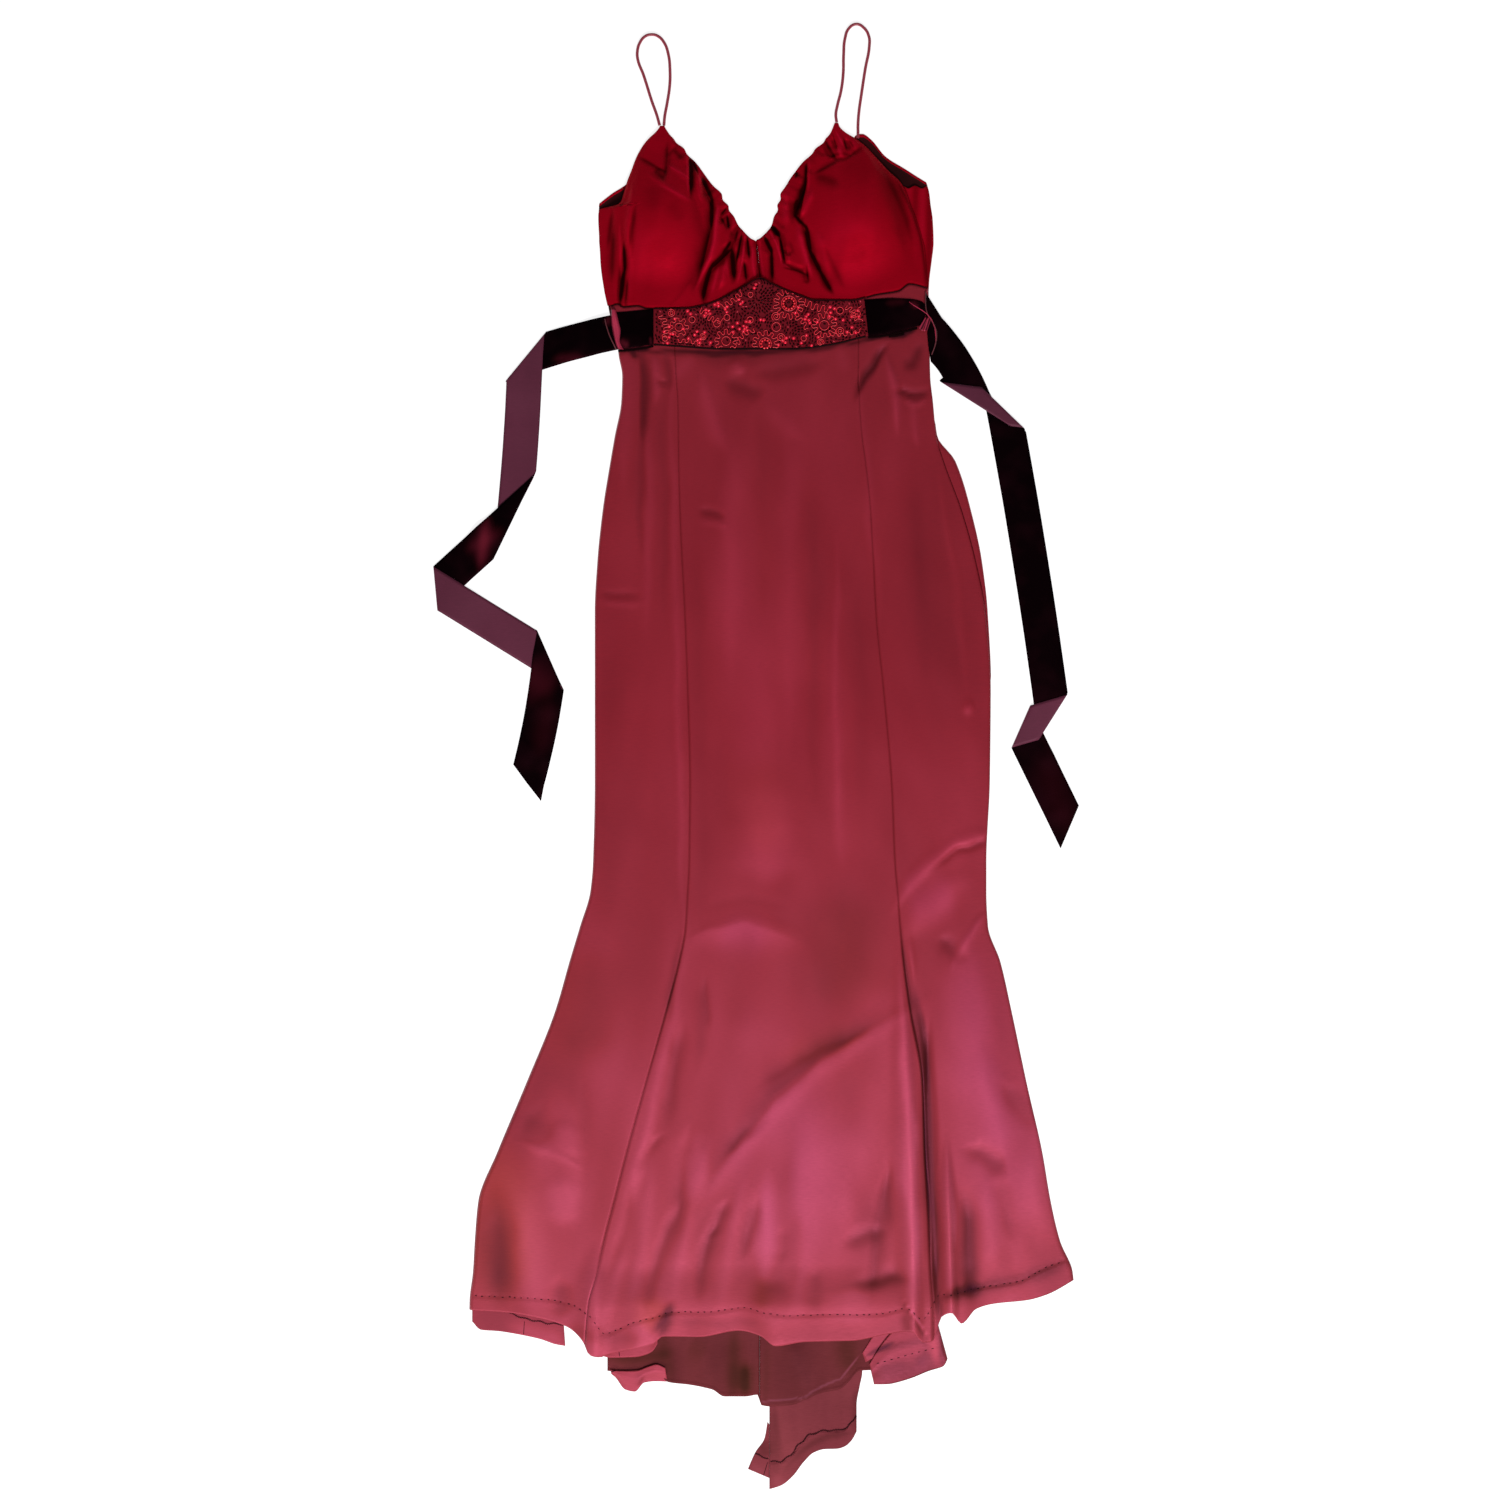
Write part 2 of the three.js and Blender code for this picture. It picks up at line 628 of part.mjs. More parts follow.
// What is sewn over the waist follows the front's own surface, moved out.
const bandRight = (y) => mix(129, 124.5, (y - 539) / 41);
const onFront = (x, y) => frontTop(x, y) + SEAM + RIBBON;
panel(
  "beaded_panel",
  BEADING,
  18,
  4,
  between(() => -117, bandRight, (x) => bustLine(x) - SEAM, waistEdge),
  onFront,
  RIBBON,
);

const RIBBON_FRONT = table("x top bottom", [
  [-158, 567, 524.5],
  [-117.5, 570, 529],
  [126, 581, 539],
  [156, 582.5, 543],
  [177, 582, 548.5],
  [188.5, 580, 551.5],
  [200, 572, 553.5],
]);
const ribbonTop = curve(RIBBON_FRONT, "x", "top");
const ribbonBottom = curve(RIBBON_FRONT, "x", "bottom");
const ribbonFront = (name, left, right) =>
  panel(name, VELVET, 8, 4, between(left, right, ribbonTop, ribbonBottom), onFront, RIBBON);
ribbonFront("ribbon_front_left", () => -156, () => -117.5);
ribbonFront(
  "ribbon_front_right",
  (y) => bandRight(y) + SEAM,
  (y) => mix(190, 198, (y - 550.5) / 22),
);

// ---------- Ribbon ties ----------
// A tie is one flat ribbon folded over on itself. Each row is a crease, by its middle: how high the
// ribbon's underside is where it arrives and where it leaves, and how far the stretch before it bows.
const TIE_LAYER = 1.7;
const TIE_COLUMNS = "x y arrive leave bow";
const TIE_LEFT = {
  startCut: 90,
  endCut: -51.9,
  rows: table(TIE_COLUMNS, [
    [-156.5, 545, 0, 3.8, 0],
    [-265, 516, 0, TIE_LAYER, -2],
    [-277.5, 332.5, 0, TIE_LAYER, 1.5],
    [-368.5, 250, 0, TIE_LAYER, 0],
    [-236.5, 168.5, 0, TIE_LAYER, 0],
    [-263.5, 26.5, 0, 0, 3],
  ]),
};
const TIE_RIGHT = {
  startCut: -87,
  endCut: -113,
  rows: table(TIE_COLUMNS, [
    [200.5, 543.5, 0, 3.8, 0],
    [252.5, 461.5, TIE_LAYER, 2 * TIE_LAYER, 5],
    [285, 457.5, 2 * TIE_LAYER, 0, 0],
    [342, 102, 0, TIE_LAYER, 2.5],
    [304.5, 91, TIE_LAYER, 0, 0],
    [361, -24.5, 0, 0, 0],
  ]),
};
const ROLL_ROWS = 5;
const TIE_ACROSS = 2;
const DROP = 45; // length over which the ribbon comes down past a fold
const FINE_ROW = 13; // spacing of the rows near a fold, and along the rest of a stretch
const COARSE_ROW = 55;
const NEAR_FOLD = 78;
const radians = (angle) => (angle * Math.PI) / 180;
const cotangent = (angle) => Math.cos(angle) / Math.sin(angle);

// How far past a crease the two stretches still lie on each other.
const SPARE = 4;
const overlapAfter = (turn) =>
  SPARE + ((RIBBON_WIDTH / 2) * (1 + Math.abs(Math.cos(turn)))) / Math.abs(Math.sin(turn));

// Shares of a stretch at which it gets a row: close together near both ends.
function shares(length) {
  const fine = Math.min(length / 2, NEAR_FOLD);
  const steps = Math.ceil(fine / FINE_ROW);
  const start = Array.from({ length: steps + 1 }, (_, i) => (i / steps) * (fine / length));
  const middle = Math.ceil((length - 2 * fine) / COARSE_ROW);
  const between = (i) => mix(fine, length - fine, (i + 1) / middle) / length;
  const inner = Array.from({ length: Math.max(0, middle - 1) }, (_, i) => between(i));
  const end = start.map((share) => 1 - share).reverse();
  return [...start, ...inner, ...(middle > 0 ? end : end.slice(1))];
}

function tie(name, { startCut, endCut, rows }) {
  const stretches = rows.slice(1).map((row, i) => {
    const from = rows[i];
    const heading = Math.atan2(row.y - from.y, row.x - from.x);
    return { from, to: row, heading, length: Math.hypot(row.x - from.x, row.y - from.y) };
  });
  const turn = (i) => stretches[i + 1].heading - stretches[i].heading;
  const crease = (i) => stretches[i].heading + Math.atan2(Math.sin(turn(i)), Math.cos(turn(i))) / 2;
  const lines = []; // one line of points across the ribbon per row, each with its face direction
  stretches.forEach((stretch, i) => {
    const { from, to, heading, length } = stretch;
    const up = i % 2 === 0 ? 1 : -1;
    const first = i === 0;
    const last = i === stretches.length - 1;
    const cutIn = (first ? radians(startCut) : crease(i - 1)) - heading;
    const cutOut = (last ? radians(endCut) : crease(i)) - heading;
    const rollIn = first ? 0 : (Math.abs(from.leave - from.arrive) / 2) * (Math.PI / 2);
    const rollOut = last ? 0 : (Math.abs(to.leave - to.arrive) / 2) * (Math.PI / 2);
    const startAt = (t) => t * cotangent(cutIn) + rollIn / Math.abs(Math.sin(cutIn));
    const endAt = (t) => length + t * cotangent(cutOut) - rollOut / Math.abs(Math.sin(cutOut));
    const keepIn = first ? 8 : overlapAfter(turn(i - 1));
    const keepOut = last ? 0 : overlapAfter(turn(i));
    const height = (a) =>
      length < keepIn + keepOut + DROP
        ? mix(from.leave, to.arrive, clamp(a / length))
        : from.leave * (1 - ease((a - keepIn) / DROP)) + to.arrive * (1 - ease((length - a - keepOut) / DROP));
    const bowed = (share) => to.bow * 4 * share * (1 - share);
    for (const share of shares(length)) {
      lines.push(
        acrossRibbon(up, (t) => {
          const a = mix(startAt(t), endAt(t), share);
          const side = t + bowed(clamp(a / length));
          return {
            x: from.x + a * Math.cos(heading) - side * Math.sin(heading),
            y: from.y + a * Math.sin(heading) + side * Math.cos(heading),
            z: RIBBON / 2 + height(a),
            face: [0, 0, up],
          };
        }),
      );
    }
    if (last) return;
    // The roll: the ribbon turns through half a circle about the crease, up over itself or down under.
    const radius = Math.abs(to.leave - to.arrive) / 2;
    const way = Math.sign(to.leave - to.arrive);
    const line = crease(i);
    const ahead = Math.sign(Math.sin(line - heading)) || 1;
    const normal = [Math.sin(line) * ahead, -Math.cos(line) * ahead];
    for (let row = 1; row < ROLL_ROWS; row += 1) {
      const bend = (row / ROLL_ROWS) * Math.PI;
      const start = -(Math.PI / 2) * radius;
      const out = start + radius * Math.sin(bend);
      const flat = start + radius * bend;
      const lean = -way * up * Math.sin(bend);
      const face = [lean * normal[0], lean * normal[1], up * Math.cos(bend)];
      lines.push(
        acrossRibbon(up, (t) => {
          const shear = normal[1] * Math.cos(heading) - normal[0] * Math.sin(heading);
          const alongCrease = (t - flat * shear) / Math.sin(line - heading);
          return {
            x: to.x + alongCrease * Math.cos(line) + out * normal[0],
            y: to.y + alongCrease * Math.sin(line) + out * normal[1],
            z: RIBBON / 2 + to.arrive + way * radius * (1 - Math.cos(bend)),
            face,
          };
        }),
      );
    }
  });
  const side = (sign) => (u, v) => {
    const line = lines[Math.round(v * (lines.length - 1))];
    const { x, y, z, face } = line[Math.round(u * TIE_ACROSS)];
    const half = (sign * RIBBON) / 2;
    return [x + face[0] * half, y + face[1] * half, z + face[2] * half];
  };
  wall(name, VELVET, TIE_ACROSS, lines.length - 1, side(1), side(-1));
}

// The points of one line across the ribbon, which folding turns over, so its two edges change sides.
function acrossRibbon(up, place) {
  return Array.from({ length: TIE_ACROSS + 1 }, (_, k) => place(up * (k / TIE_ACROSS - 0.5) * RIBBON_WIDTH));
}

tie("tie_left", TIE_LEFT);
tie("tie_right", TIE_RIGHT);

// ---------- Cords ----------
// A tube along a smooth curve through its points, with flat ends.
function tube(name, material, diameter, points, steps) {
  const section = new THREE.Shape(
    Array.from({ length: 8 }, (_, k) => {
      const angle = (k / 8) * 2 * Math.PI;
      return new THREE.Vector2((diameter / 2) * Math.cos(angle), (diameter / 2) * Math.sin(angle));
    }),
  );
  const stops = points.map((point) => new THREE.Vector3(...point));
  const extrudePath = new THREE.CatmullRomCurve3(stops, false, "centripetal");
  const geometry = new THREE.ExtrudeGeometry(section, { steps, extrudePath, curveSegments: 1 });
  const mesh = new THREE.Mesh(geometry, material);
  mesh.name = name;
  gown.add(mesh);
}

// Each strap leaves the point of its cup, loops up over the surface and comes back to the bodice back.
const LIES = STRAP / 2 + 0.1; // height of a strap's middle where it lies on the surface
const STRAP_LEFT = [
  [-110.5, 782, 3],
  [-113.5, 793, 2.4],
  [-119.5, 810, LIES],
  [-129, 840, LIES],
  [-135.5, 857.5, LIES],
  [-136, 867.5, LIES],
  [-133, 877.5, LIES],
  [-127, 884.5, LIES],
  [-120, 886.5, LIES],
  [-113, 885, LIES],
  [-105.5, 877.5, LIES],
  [-100.5, 864, LIES],
  [-98.5, 844, LIES],
  [-99, 826.5, LIES],
  [-102, 806.5, LIES],
  [-104.5, 793, LIES],
  [-105.5, 782, LIES],
];
const STRAP_RIGHT = [
  [93, 785.5, 3],
  [92, 794, 2.4],
  [94, 805.5, LIES],
  [98, 821.5, LIES],
  [100.5, 841, LIES],
  [101, 863, LIES],
  [102.5, 881.5, LIES],
  [107, 893.5, LIES],
  [115.5, 898.5, LIES],
  [124, 894.5, LIES],
  [130, 884.5, LIES],
  [130.5, 872.5, LIES],
  [126, 847.5, LIES],
  [121.5, 818, LIES],
  [118.5, 796.5, LIES],
  [117.5, 781.5, LIES],
  [117.5, 774, LIES],
];
tube("strap_left", CORD, STRAP, STRAP_LEFT, 34);
tube("strap_right", CORD, STRAP, STRAP_RIGHT, 34);

// The thread loops stand over the ribbon at the side seams.
const CARRIER_LEFT = [
  [-173.5, 571, 4.4],
  [-174, 560.5, 6.4],
  [-171.5, 549, 6.8],
  [-167, 537.5, 6.8],
  [-161.5, 522.5, 6.6],
  [-156.5, 513.5, 6.6],
];
const CARRIER_RIGHT = [
  [194.5, 581.5, 4.8],
  [195, 572, 7.1],
  [197, 564, 7.3],
  [202, 556, 7.1],
  [206, 548, 7],
  [207.5, 540, 6.8],
  [206, 529.5, 6.4],
  [202, 518, 6],
];
tube("carrier_left", CORD, CARRIER, CARRIER_LEFT, 12);
tube("carrier_right", CORD, CARRIER, CARRIER_RIGHT, 12);

// ---------- Frame ----------
// The origin is under the middle of the gown, without its straps, on the surface it lies on.
const box = new THREE.Box3();
const solidPieces = gown.children.filter((mesh) => !mesh.name.startsWith("strap_"));
solidPieces.forEach((mesh) => box.expandByObject(mesh));
gown.position.set(-(box.min.x + box.max.x) / 2, -(box.min.y + box.max.y) / 2, -box.min.z);

export default gown;
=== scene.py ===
"""A beaded evening gown laid face up: gathered satin cups on cord straps, a raised waist with a
beaded panel, two long velvet ribbon ties, and a princess-seamed satin skirt with a flared hem and train."""

import bpy
import numpy as np
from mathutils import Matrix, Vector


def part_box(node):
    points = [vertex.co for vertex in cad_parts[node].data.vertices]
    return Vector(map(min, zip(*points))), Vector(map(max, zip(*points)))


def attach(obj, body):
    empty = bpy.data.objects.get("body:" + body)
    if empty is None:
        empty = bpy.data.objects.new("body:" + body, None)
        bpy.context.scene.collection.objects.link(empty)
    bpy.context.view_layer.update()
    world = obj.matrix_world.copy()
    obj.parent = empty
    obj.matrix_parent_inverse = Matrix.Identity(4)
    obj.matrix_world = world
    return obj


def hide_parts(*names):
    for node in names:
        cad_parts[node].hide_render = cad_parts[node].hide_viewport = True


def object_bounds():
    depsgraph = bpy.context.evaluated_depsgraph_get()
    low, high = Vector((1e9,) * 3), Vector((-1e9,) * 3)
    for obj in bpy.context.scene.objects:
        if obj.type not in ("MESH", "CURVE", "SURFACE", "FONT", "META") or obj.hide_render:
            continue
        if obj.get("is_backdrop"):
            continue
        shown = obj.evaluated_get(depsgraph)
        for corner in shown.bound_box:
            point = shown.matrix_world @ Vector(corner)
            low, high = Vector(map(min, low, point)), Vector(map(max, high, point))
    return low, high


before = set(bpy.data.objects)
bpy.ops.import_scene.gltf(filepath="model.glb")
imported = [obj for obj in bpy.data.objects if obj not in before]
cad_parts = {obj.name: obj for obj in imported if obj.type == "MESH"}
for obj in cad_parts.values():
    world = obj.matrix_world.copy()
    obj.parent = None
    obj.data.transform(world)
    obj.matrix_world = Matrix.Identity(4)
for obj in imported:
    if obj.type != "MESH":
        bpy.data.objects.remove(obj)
solid_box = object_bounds()
bpy.ops.object.select_all(action="DESELECT")


# ---------- Studio ----------
# The gown lies on a plain pale floor and is looked at from straight above its middle. A broad soft
# light hangs high past the hem, a weaker one stands low behind it, under a dim even sky.
scene = bpy.context.scene
scene.view_settings.view_transform = "Standard"
middle = (solid_box[0] + solid_box[1]) / 2
VIEW = 1.0316  # height of the view against the gown's length
CAMERA_HEIGHT = 3.2
SENSOR = 36
reach = (solid_box[1].y - solid_box[0].y) * VIEW
camera = bpy.data.objects.new("camera", bpy.data.cameras.new("camera"))
camera.data.sensor_width = SENSOR
camera.data.lens = SENSOR * CAMERA_HEIGHT / reach
camera.location = (middle.x, middle.y, CAMERA_HEIGHT)
scene.collection.objects.link(camera)
scene.camera = camera


def softbox(name, place, size, power, target):
    data = bpy.data.lights.new(name, "AREA")
    data.shape = "RECTANGLE"
    data.size, data.size_y = size
    data.energy = power
    lamp = bpy.data.objects.new(name, data)
    lamp.location = place
    aim = middle.copy()
    aim.x, aim.y, aim.z = target
    lamp.rotation_euler = (aim - lamp.location).to_track_quat("-Z", "Y").to_euler()
    scene.collection.objects.link(lamp)


softbox("softbox_hem", (0.45, -1.7, 2.4), (1.2, 0.8), 66, (0.05, -0.2, 0))
softbox("softbox_low", (-0.9, -2.4, 1.3), (1.4, 0.7), 30, (0, 0.2, 0))
world = bpy.data.worlds.new("sky")
world.use_nodes = True
sky = world.node_tree.nodes["Background"].inputs
sky["Color"].default_value = (0.9, 0.93, 1, 1)
sky["Strength"].default_value = 0.26
scene.world = world


def plug(material, node="Principled BSDF", **inputs):
    """Gives the inputs of a material's node their values and colours, or other nodes' outputs."""
    tree = material.node_tree
    for name, value in inputs.items():
        socket = tree.nodes[node].inputs[name.replace("_", " ")]
        if isinstance(value, bpy.types.NodeSocket):
            tree.links.new(value, socket)
        else:
            socket.default_value = (*value, 1) if socket.type == "RGBA" else value


def finish(name, **settings):
    """A material whose shader has these settings."""
    material = bpy.data.materials.new(name)
    material.use_nodes = True
    plug(material, **settings)
    return material


FLOOR = 9  # length of its sides, in metres
BELOW = 0.0004  # how far the floor's face is under the solids
bpy.ops.mesh.primitive_plane_add(size=FLOOR, location=(middle.x, middle.y, solid_box[0].z - BELOW))
floor = bpy.context.object
floor.name = "floor"
grey, white = (0.4, 0.4, 0.4), (1, 1, 1)
paint = finish("floor_paint", Base_Color=grey, Roughness=0.9, Emission_Color=white, Emission_Strength=0.8)
floor.data.materials.append(paint)
floor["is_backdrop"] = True
bpy.ops.object.select_all(action="DESELECT")

# ---------- Cord straps ----------
# Each strap is a thin rouleau, a tube of satin turned right side out. It leaves the point of its
# cup, loops over the floor and comes back to the bodice back, and it is sewn in at both ends.
MM = 0.001
TRAIN_CORNER = (16.2, -785.5)  # all places here are from a point on the gown's own middle line
train_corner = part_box("train")[0] / MM
SHIFT = np.array([train_corner.x - TRAIN_CORNER[0], train_corner.y - TRAIN_CORNER[1], 0])
STRAP = 3.4  # its thickness
LIES = STRAP / 2 + 0.1  # height of its middle where it lies on the floor


def added(material, kind, output, options=(), **inputs):
    """The output of a new node in a material."""
    node = material.node_tree.nodes.new(f"ShaderNode{kind}")
    for option, value in options:
        setattr(node, option, value)
    plug(material, node.name, **inputs)
    return node.outputs[output]


def blended(material, share, a, b, way="MIX"):
    """A colour part way from one to another, or one multiplied by another."""
    options = (("data_type", "RGBA"), ("blend_type", way))
    return added(material, "Mix", "Result", options, Factor=share, A=a, B=b)


def grained(material, height, strength, distance):
    """The same material with a low relief."""
    relief = added(material, "Bump", "Normal", Height=height, Strength=strength, Distance=distance)
    plug(material, Normal=relief)
    return material


def threads(name, colour, shade, scale, **settings):
    """Fine uneven bands round and along a thread or cord, in two tones, with a low relief."""
    material = finish(name, **settings)
    place = added(material, "TexCoord", "Object")
    grain = added(material, "TexNoise", "Fac", Vector=place, Scale=scale, Detail=3)
    plug(material, Base_Color=blended(material, grain, shade, colour))
    return grained(material, grain, 0.35, 0.0002)


strap_satin = threads("strap_satin", (0.42, 0.05, 0.08), (0.25, 0.02, 0.035), 900, Roughness=0.42)


def cord_curve(name, node, diameter, points, material):
    line = bpy.data.curves.new(name, "CURVE")
    line.dimensions = "3D"
    line.bevel_depth = diameter / 2 * MM
    line.bevel_resolution = 4
    line.resolution_u = 8
    line.use_fill_caps = True
    spline = line.splines.new("BEZIER")
    spline.bezier_points.add(len(points) - 1)
    for knot, point in zip(spline.bezier_points, np.array(points) + SHIFT):
        knot.co = point * MM
        knot.handle_left_type = knot.handle_right_type = "AUTO"
    line.materials.append(material)
    piece = bpy.data.objects.new(name, line)
    scene.collection.objects.link(piece)
    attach(piece, "root")
    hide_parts(node)
    return piece


STRAPS = {
    "left": [
        (-110.5, 782, 3), (-113.5, 793, 2.4), (-119.5, 810, LIES), (-129, 840, LIES),
        (-135.5, 857.5, LIES), (-136, 867.5, LIES), (-133, 877.5, LIES), (-127, 884.5, LIES),
        (-120, 886.5, LIES), (-113, 885, LIES), (-105.5, 877.5, LIES), (-100.5, 864, LIES),
        (-98.5, 844, LIES), (-99, 826.5, LIES), (-102, 806.5, LIES), (-104.5, 793, LIES),
        (-105.5, 782, LIES),
    ],
    "right": [
        (93, 785.5, 3), (92, 794, 2.4), (94, 805.5, LIES), (98, 821.5, LIES), (100.5, 841, LIES),
        (101, 863, LIES), (102.5, 881.5, LIES), (107, 893.5, LIES), (115.5, 898.5, LIES),
        (124, 894.5, LIES), (130, 884.5, LIES), (130.5, 872.5, LIES), (126, 847.5, LIES),
        (121.5, 818, LIES), (118.5, 796.5, LIES), (117.5, 781.5, 2.4), (117.5, 774, 3.4),
        (117.3, 767, 3.8),
    ],
}
for side, route in STRAPS.items():
    strap = cord_curve(f"rouleau_strap_{side}", f"strap_{side}", STRAP, route, strap_satin)

# ---------- Skirt ----------
# The skirt is cut from heavy wine satin in three front panels and a back, joined at princess seams.
# It is slim to the knee and flares to a turned hem; the front stands a little off the back.
SEAM = 0.4  # gap between two pieces at a seam, in millimetres as all sizes here
FRONT = 3.3  # height of a front panel where it lies down on the back
CLOTH = 0.8  # wall of the satin with its underlining


def table(columns, *rows):
    names = columns.split()
    return [dict(zip(names, row)) for row in rows]


def mix(a, b, t):
    return a + (b - a) * t


def ease(t):
    t = np.clip(t, 0, 1)
    return t * t * (3 - 2 * t)


def curve(rows, start, to):
    """A smooth curve through one column of a table against another, which never overshoots."""
    rows = sorted(rows, key=lambda row: row[start])
    x = np.array([row[start] for row in rows], float)
    y = np.array([row[to] for row in rows], float)
    slope = np.diff(y) / np.diff(x)
    before, after = np.r_[slope[0], slope], np.r_[slope, slope[-1]]
    agree = before * after > 0
    tangent = np.where(agree, 2 * before * after / np.where(agree, before + after, 1), 0)

    def at(place):
        place = np.asarray(place, float)
        i = np.clip(np.searchsorted(x, place) - 1, 0, len(x) - 2)
        step = x[i + 1] - x[i]
        t = np.clip((place - x[i]) / step, 0, 1)
        lean = step * t * (1 - t) * ((1 - t) * tangent[i] - t * tangent[i + 1])
        return mix(y[i], y[i + 1], ease(t)) + lean

    return at


def swell(away, width):
    """A bump that is 1 high in its middle and fades out past a width."""
    return np.exp(-((away / width) ** 2))


def fold_height(folds):
    """Height that soft folds add at a place. Each runs from one point to another, bowed sideways,
    with its own width to its left and to its right, and fades out towards both ends."""

    def height(x, y):
        total = np.zeros(np.broadcast(x, y).shape)
        for fold in folds:
            dx, dy = fold["x1"] - fold["x0"], fold["y1"] - fold["y0"]
            length = np.hypot(dx, dy)
            along = ((x - fold["x0"]) * dx + (y - fold["y0"]) * dy) / length**2
            fade = ease((along + 0.25) / 0.5) * ease((1.25 - along) / 0.5)
            across = ((x - fold["x0"]) * dy - (y - fold["y0"]) * dx) / length
            across = across - fold.get("bow", 0) * 4 * along * (1 - along)
            widths = fold["left"], fold.get("right", fold["left"])
            width = np.where(across < 0, *widths) * (0.45 + 0.55 * fade)
            total += fold["height"] * fade * swell(across, width)
        return total

    return height


ROUNDS = 4


def between(left, right, head, foot, gap=0.04):
    """The plan of a panel between two side curves of y and two end curves of x, less half a gap at
    each side. A place on the sides and one on the ends depend on each other, so it takes a few rounds."""

    def plan(u, v):
        y = mix(head(0), foot(0), v)
        for _ in range(ROUNDS):
            spot = mix(left(y) + gap / 2, right(y) - gap / 2, u)
            y = mix(head(spot), foot(spot), v)
        return mix(left(y) + gap / 2, right(y) - gap / 2, u), y

    return plan


def level(value):
    return lambda place: value + 0 * np.asarray(place, float)


def pieced(name, points, faces, finishes):
    """A smooth piece from its points, in millimetres, and its faces."""
    mesh = bpy.data.meshes.new(name)
    mesh.from_pydata(((points + SHIFT) * MM).tolist(), [], faces)
    mesh.polygons.foreach_set("use_smooth", np.ones(len(mesh.polygons), bool))
    for material in finishes:
        mesh.materials.append(material)
    piece = bpy.data.objects.new(name, mesh)
    scene.collection.objects.link(piece)
    return piece


def sew(name, points, finishes, node, slot, wall=CLOTH, **looks):
    """A sheet of cloth whose outer face goes through a grid of points: rows, columns, then x, y, z.
    The wall is given inwards. finishes are the outer face's material and the inner face's. looks
    are painted light and shade, kept as attributes: how much lighter or deeper than its colour the
    cloth is painted at each point, and rose, how much cooler or warmer its painted hue is."""
    rows, columns = points.shape[:2]
    spots = points.reshape(-1, 3)
    number = np.arange(rows * columns).reshape(rows, columns)
    corners = (number[:-1, :-1], number[:-1, 1:], number[1:, 1:], number[1:, :-1])
    faces = np.stack(corners, -1).reshape(-1, 4)
    first, second = spots[faces[:, 2]] - spots[faces[:, 0]], spots[faces[:, 3]] - spots[faces[:, 1]]
    if np.cross(first, second)[:, 2].sum() <= 0:
        faces = faces[:, ::-1]
    piece = pieced(name, spots, faces.tolist(), finishes)
    for look, strength in looks.items():
        values = piece.data.attributes.new(look, "FLOAT", "POINT").data
        values.foreach_set("value", np.clip(strength, -2, 1).ravel())
    bpy.context.view_layer.objects.active = piece
    thickness = piece.modifiers.new("thickness", "SOLIDIFY")
    thickness.thickness = wall * MM
    thickness.offset = -1
    thickness.material_offset = len(finishes) - 1
    bpy.ops.object.modifier_apply(modifier="thickness")
    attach(piece, "root")
    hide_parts(*([node] if isinstance(node, str) else node))
    return piece


def grid(columns, rows):
    return np.meshgrid(np.linspace(0, 1, columns + 1), np.linspace(0, 1, rows + 1))


def laid(plan, height, columns, rows):
    """The points of a panel from its plan and the height of its face."""
    u, v = grid(columns, rows)
    x, y = plan(u, v)
    return np.stack(np.broadcast_arrays(x, y, height(x, y, u, v)), -1)


def over(points, pattern):
    """What a pattern of x and y is worth at each of these points."""
    return pattern(points[..., 0], points[..., 1])


# The shot satin's change of hue with the light is painted: WARM and COOL tint it where rose says.
# BLACK paints it in the deepest shadow, and also darkens its slubs.
WARM, COOL, BLACK = (1.0, 1.0, 0.62), (1.02, 1.12, 1.45), (0.0, 0.0, 0.0)


def satin(name, colour, shade, glow=None, reach=(0, 1), deep=None, bright=None, **settings):
    """Satin: long soft patches in two tones, fine slubs across the warp in colour and gloss, and a
    close twill. glow is painted light: the tone that it takes on over reach, along the gown's length.
    deep and bright are painted shade and painted highlight, which multiply its tone where its painted
    light is -1 and 1, and at -2 it is painted black as shadow. rose paints its hue warmer or cooler."""
    material = finish(name, **settings)
    place = added(material, "TexCoord", "Object")

    def noise(stretch, scale, detail):
        turn = added(material, "Mapping", "Vector", Vector=place, Scale=stretch)
        return added(material, "TexNoise", "Fac", Vector=turn, Scale=scale, Detail=detail)

    def span(value, low, high, start, end):
        ends = dict(From_Min=low, From_Max=high, To_Min=start, To_Max=end)
        return added(material, "MapRange", "Result", Value=value, **ends)

    patches = noise((3, 1, 3), 5, 3)
    slubs = noise((14, 160, 14), 9, 4)
    weave = noise((1, 1, 1), 1400, 2)
    tone = blended(material, span(patches, 0.3, 0.7, 0, 1), shade, colour)
    if glow:
        height = added(material, "SeparateXYZ", "Y", Vector=place)
        tone = blended(material, span(height, reach[1], reach[0], 0, 1), tone, glow)
    if deep:
        looks = (("rose", -1, WARM), ("rose", 1, COOL), ("lustre", -1, deep), ("lustre", 1, bright))
        for look, full, change in looks:
            painted_value = added(material, "Attribute", "Fac", [("attribute_name", look)])
            tone = blended(material, span(painted_value, 0, full, 0, 1), tone, change, "MULTIPLY")
        tone = blended(material, span(painted_value, -1, -2, 0, 0.93), tone, BLACK)
    tone = blended(material, span(slubs, 0.35, 0.65, 0, 0.12), tone, BLACK)
    gloss = settings["Roughness"]
    uneven = span(slubs, 0.3, 0.7, gloss - 0.04, gloss + 0.05)
    plug(material, Base_Color=tone, Roughness=uneven)
    return grained(material, weave, 0.22, 0.0003)


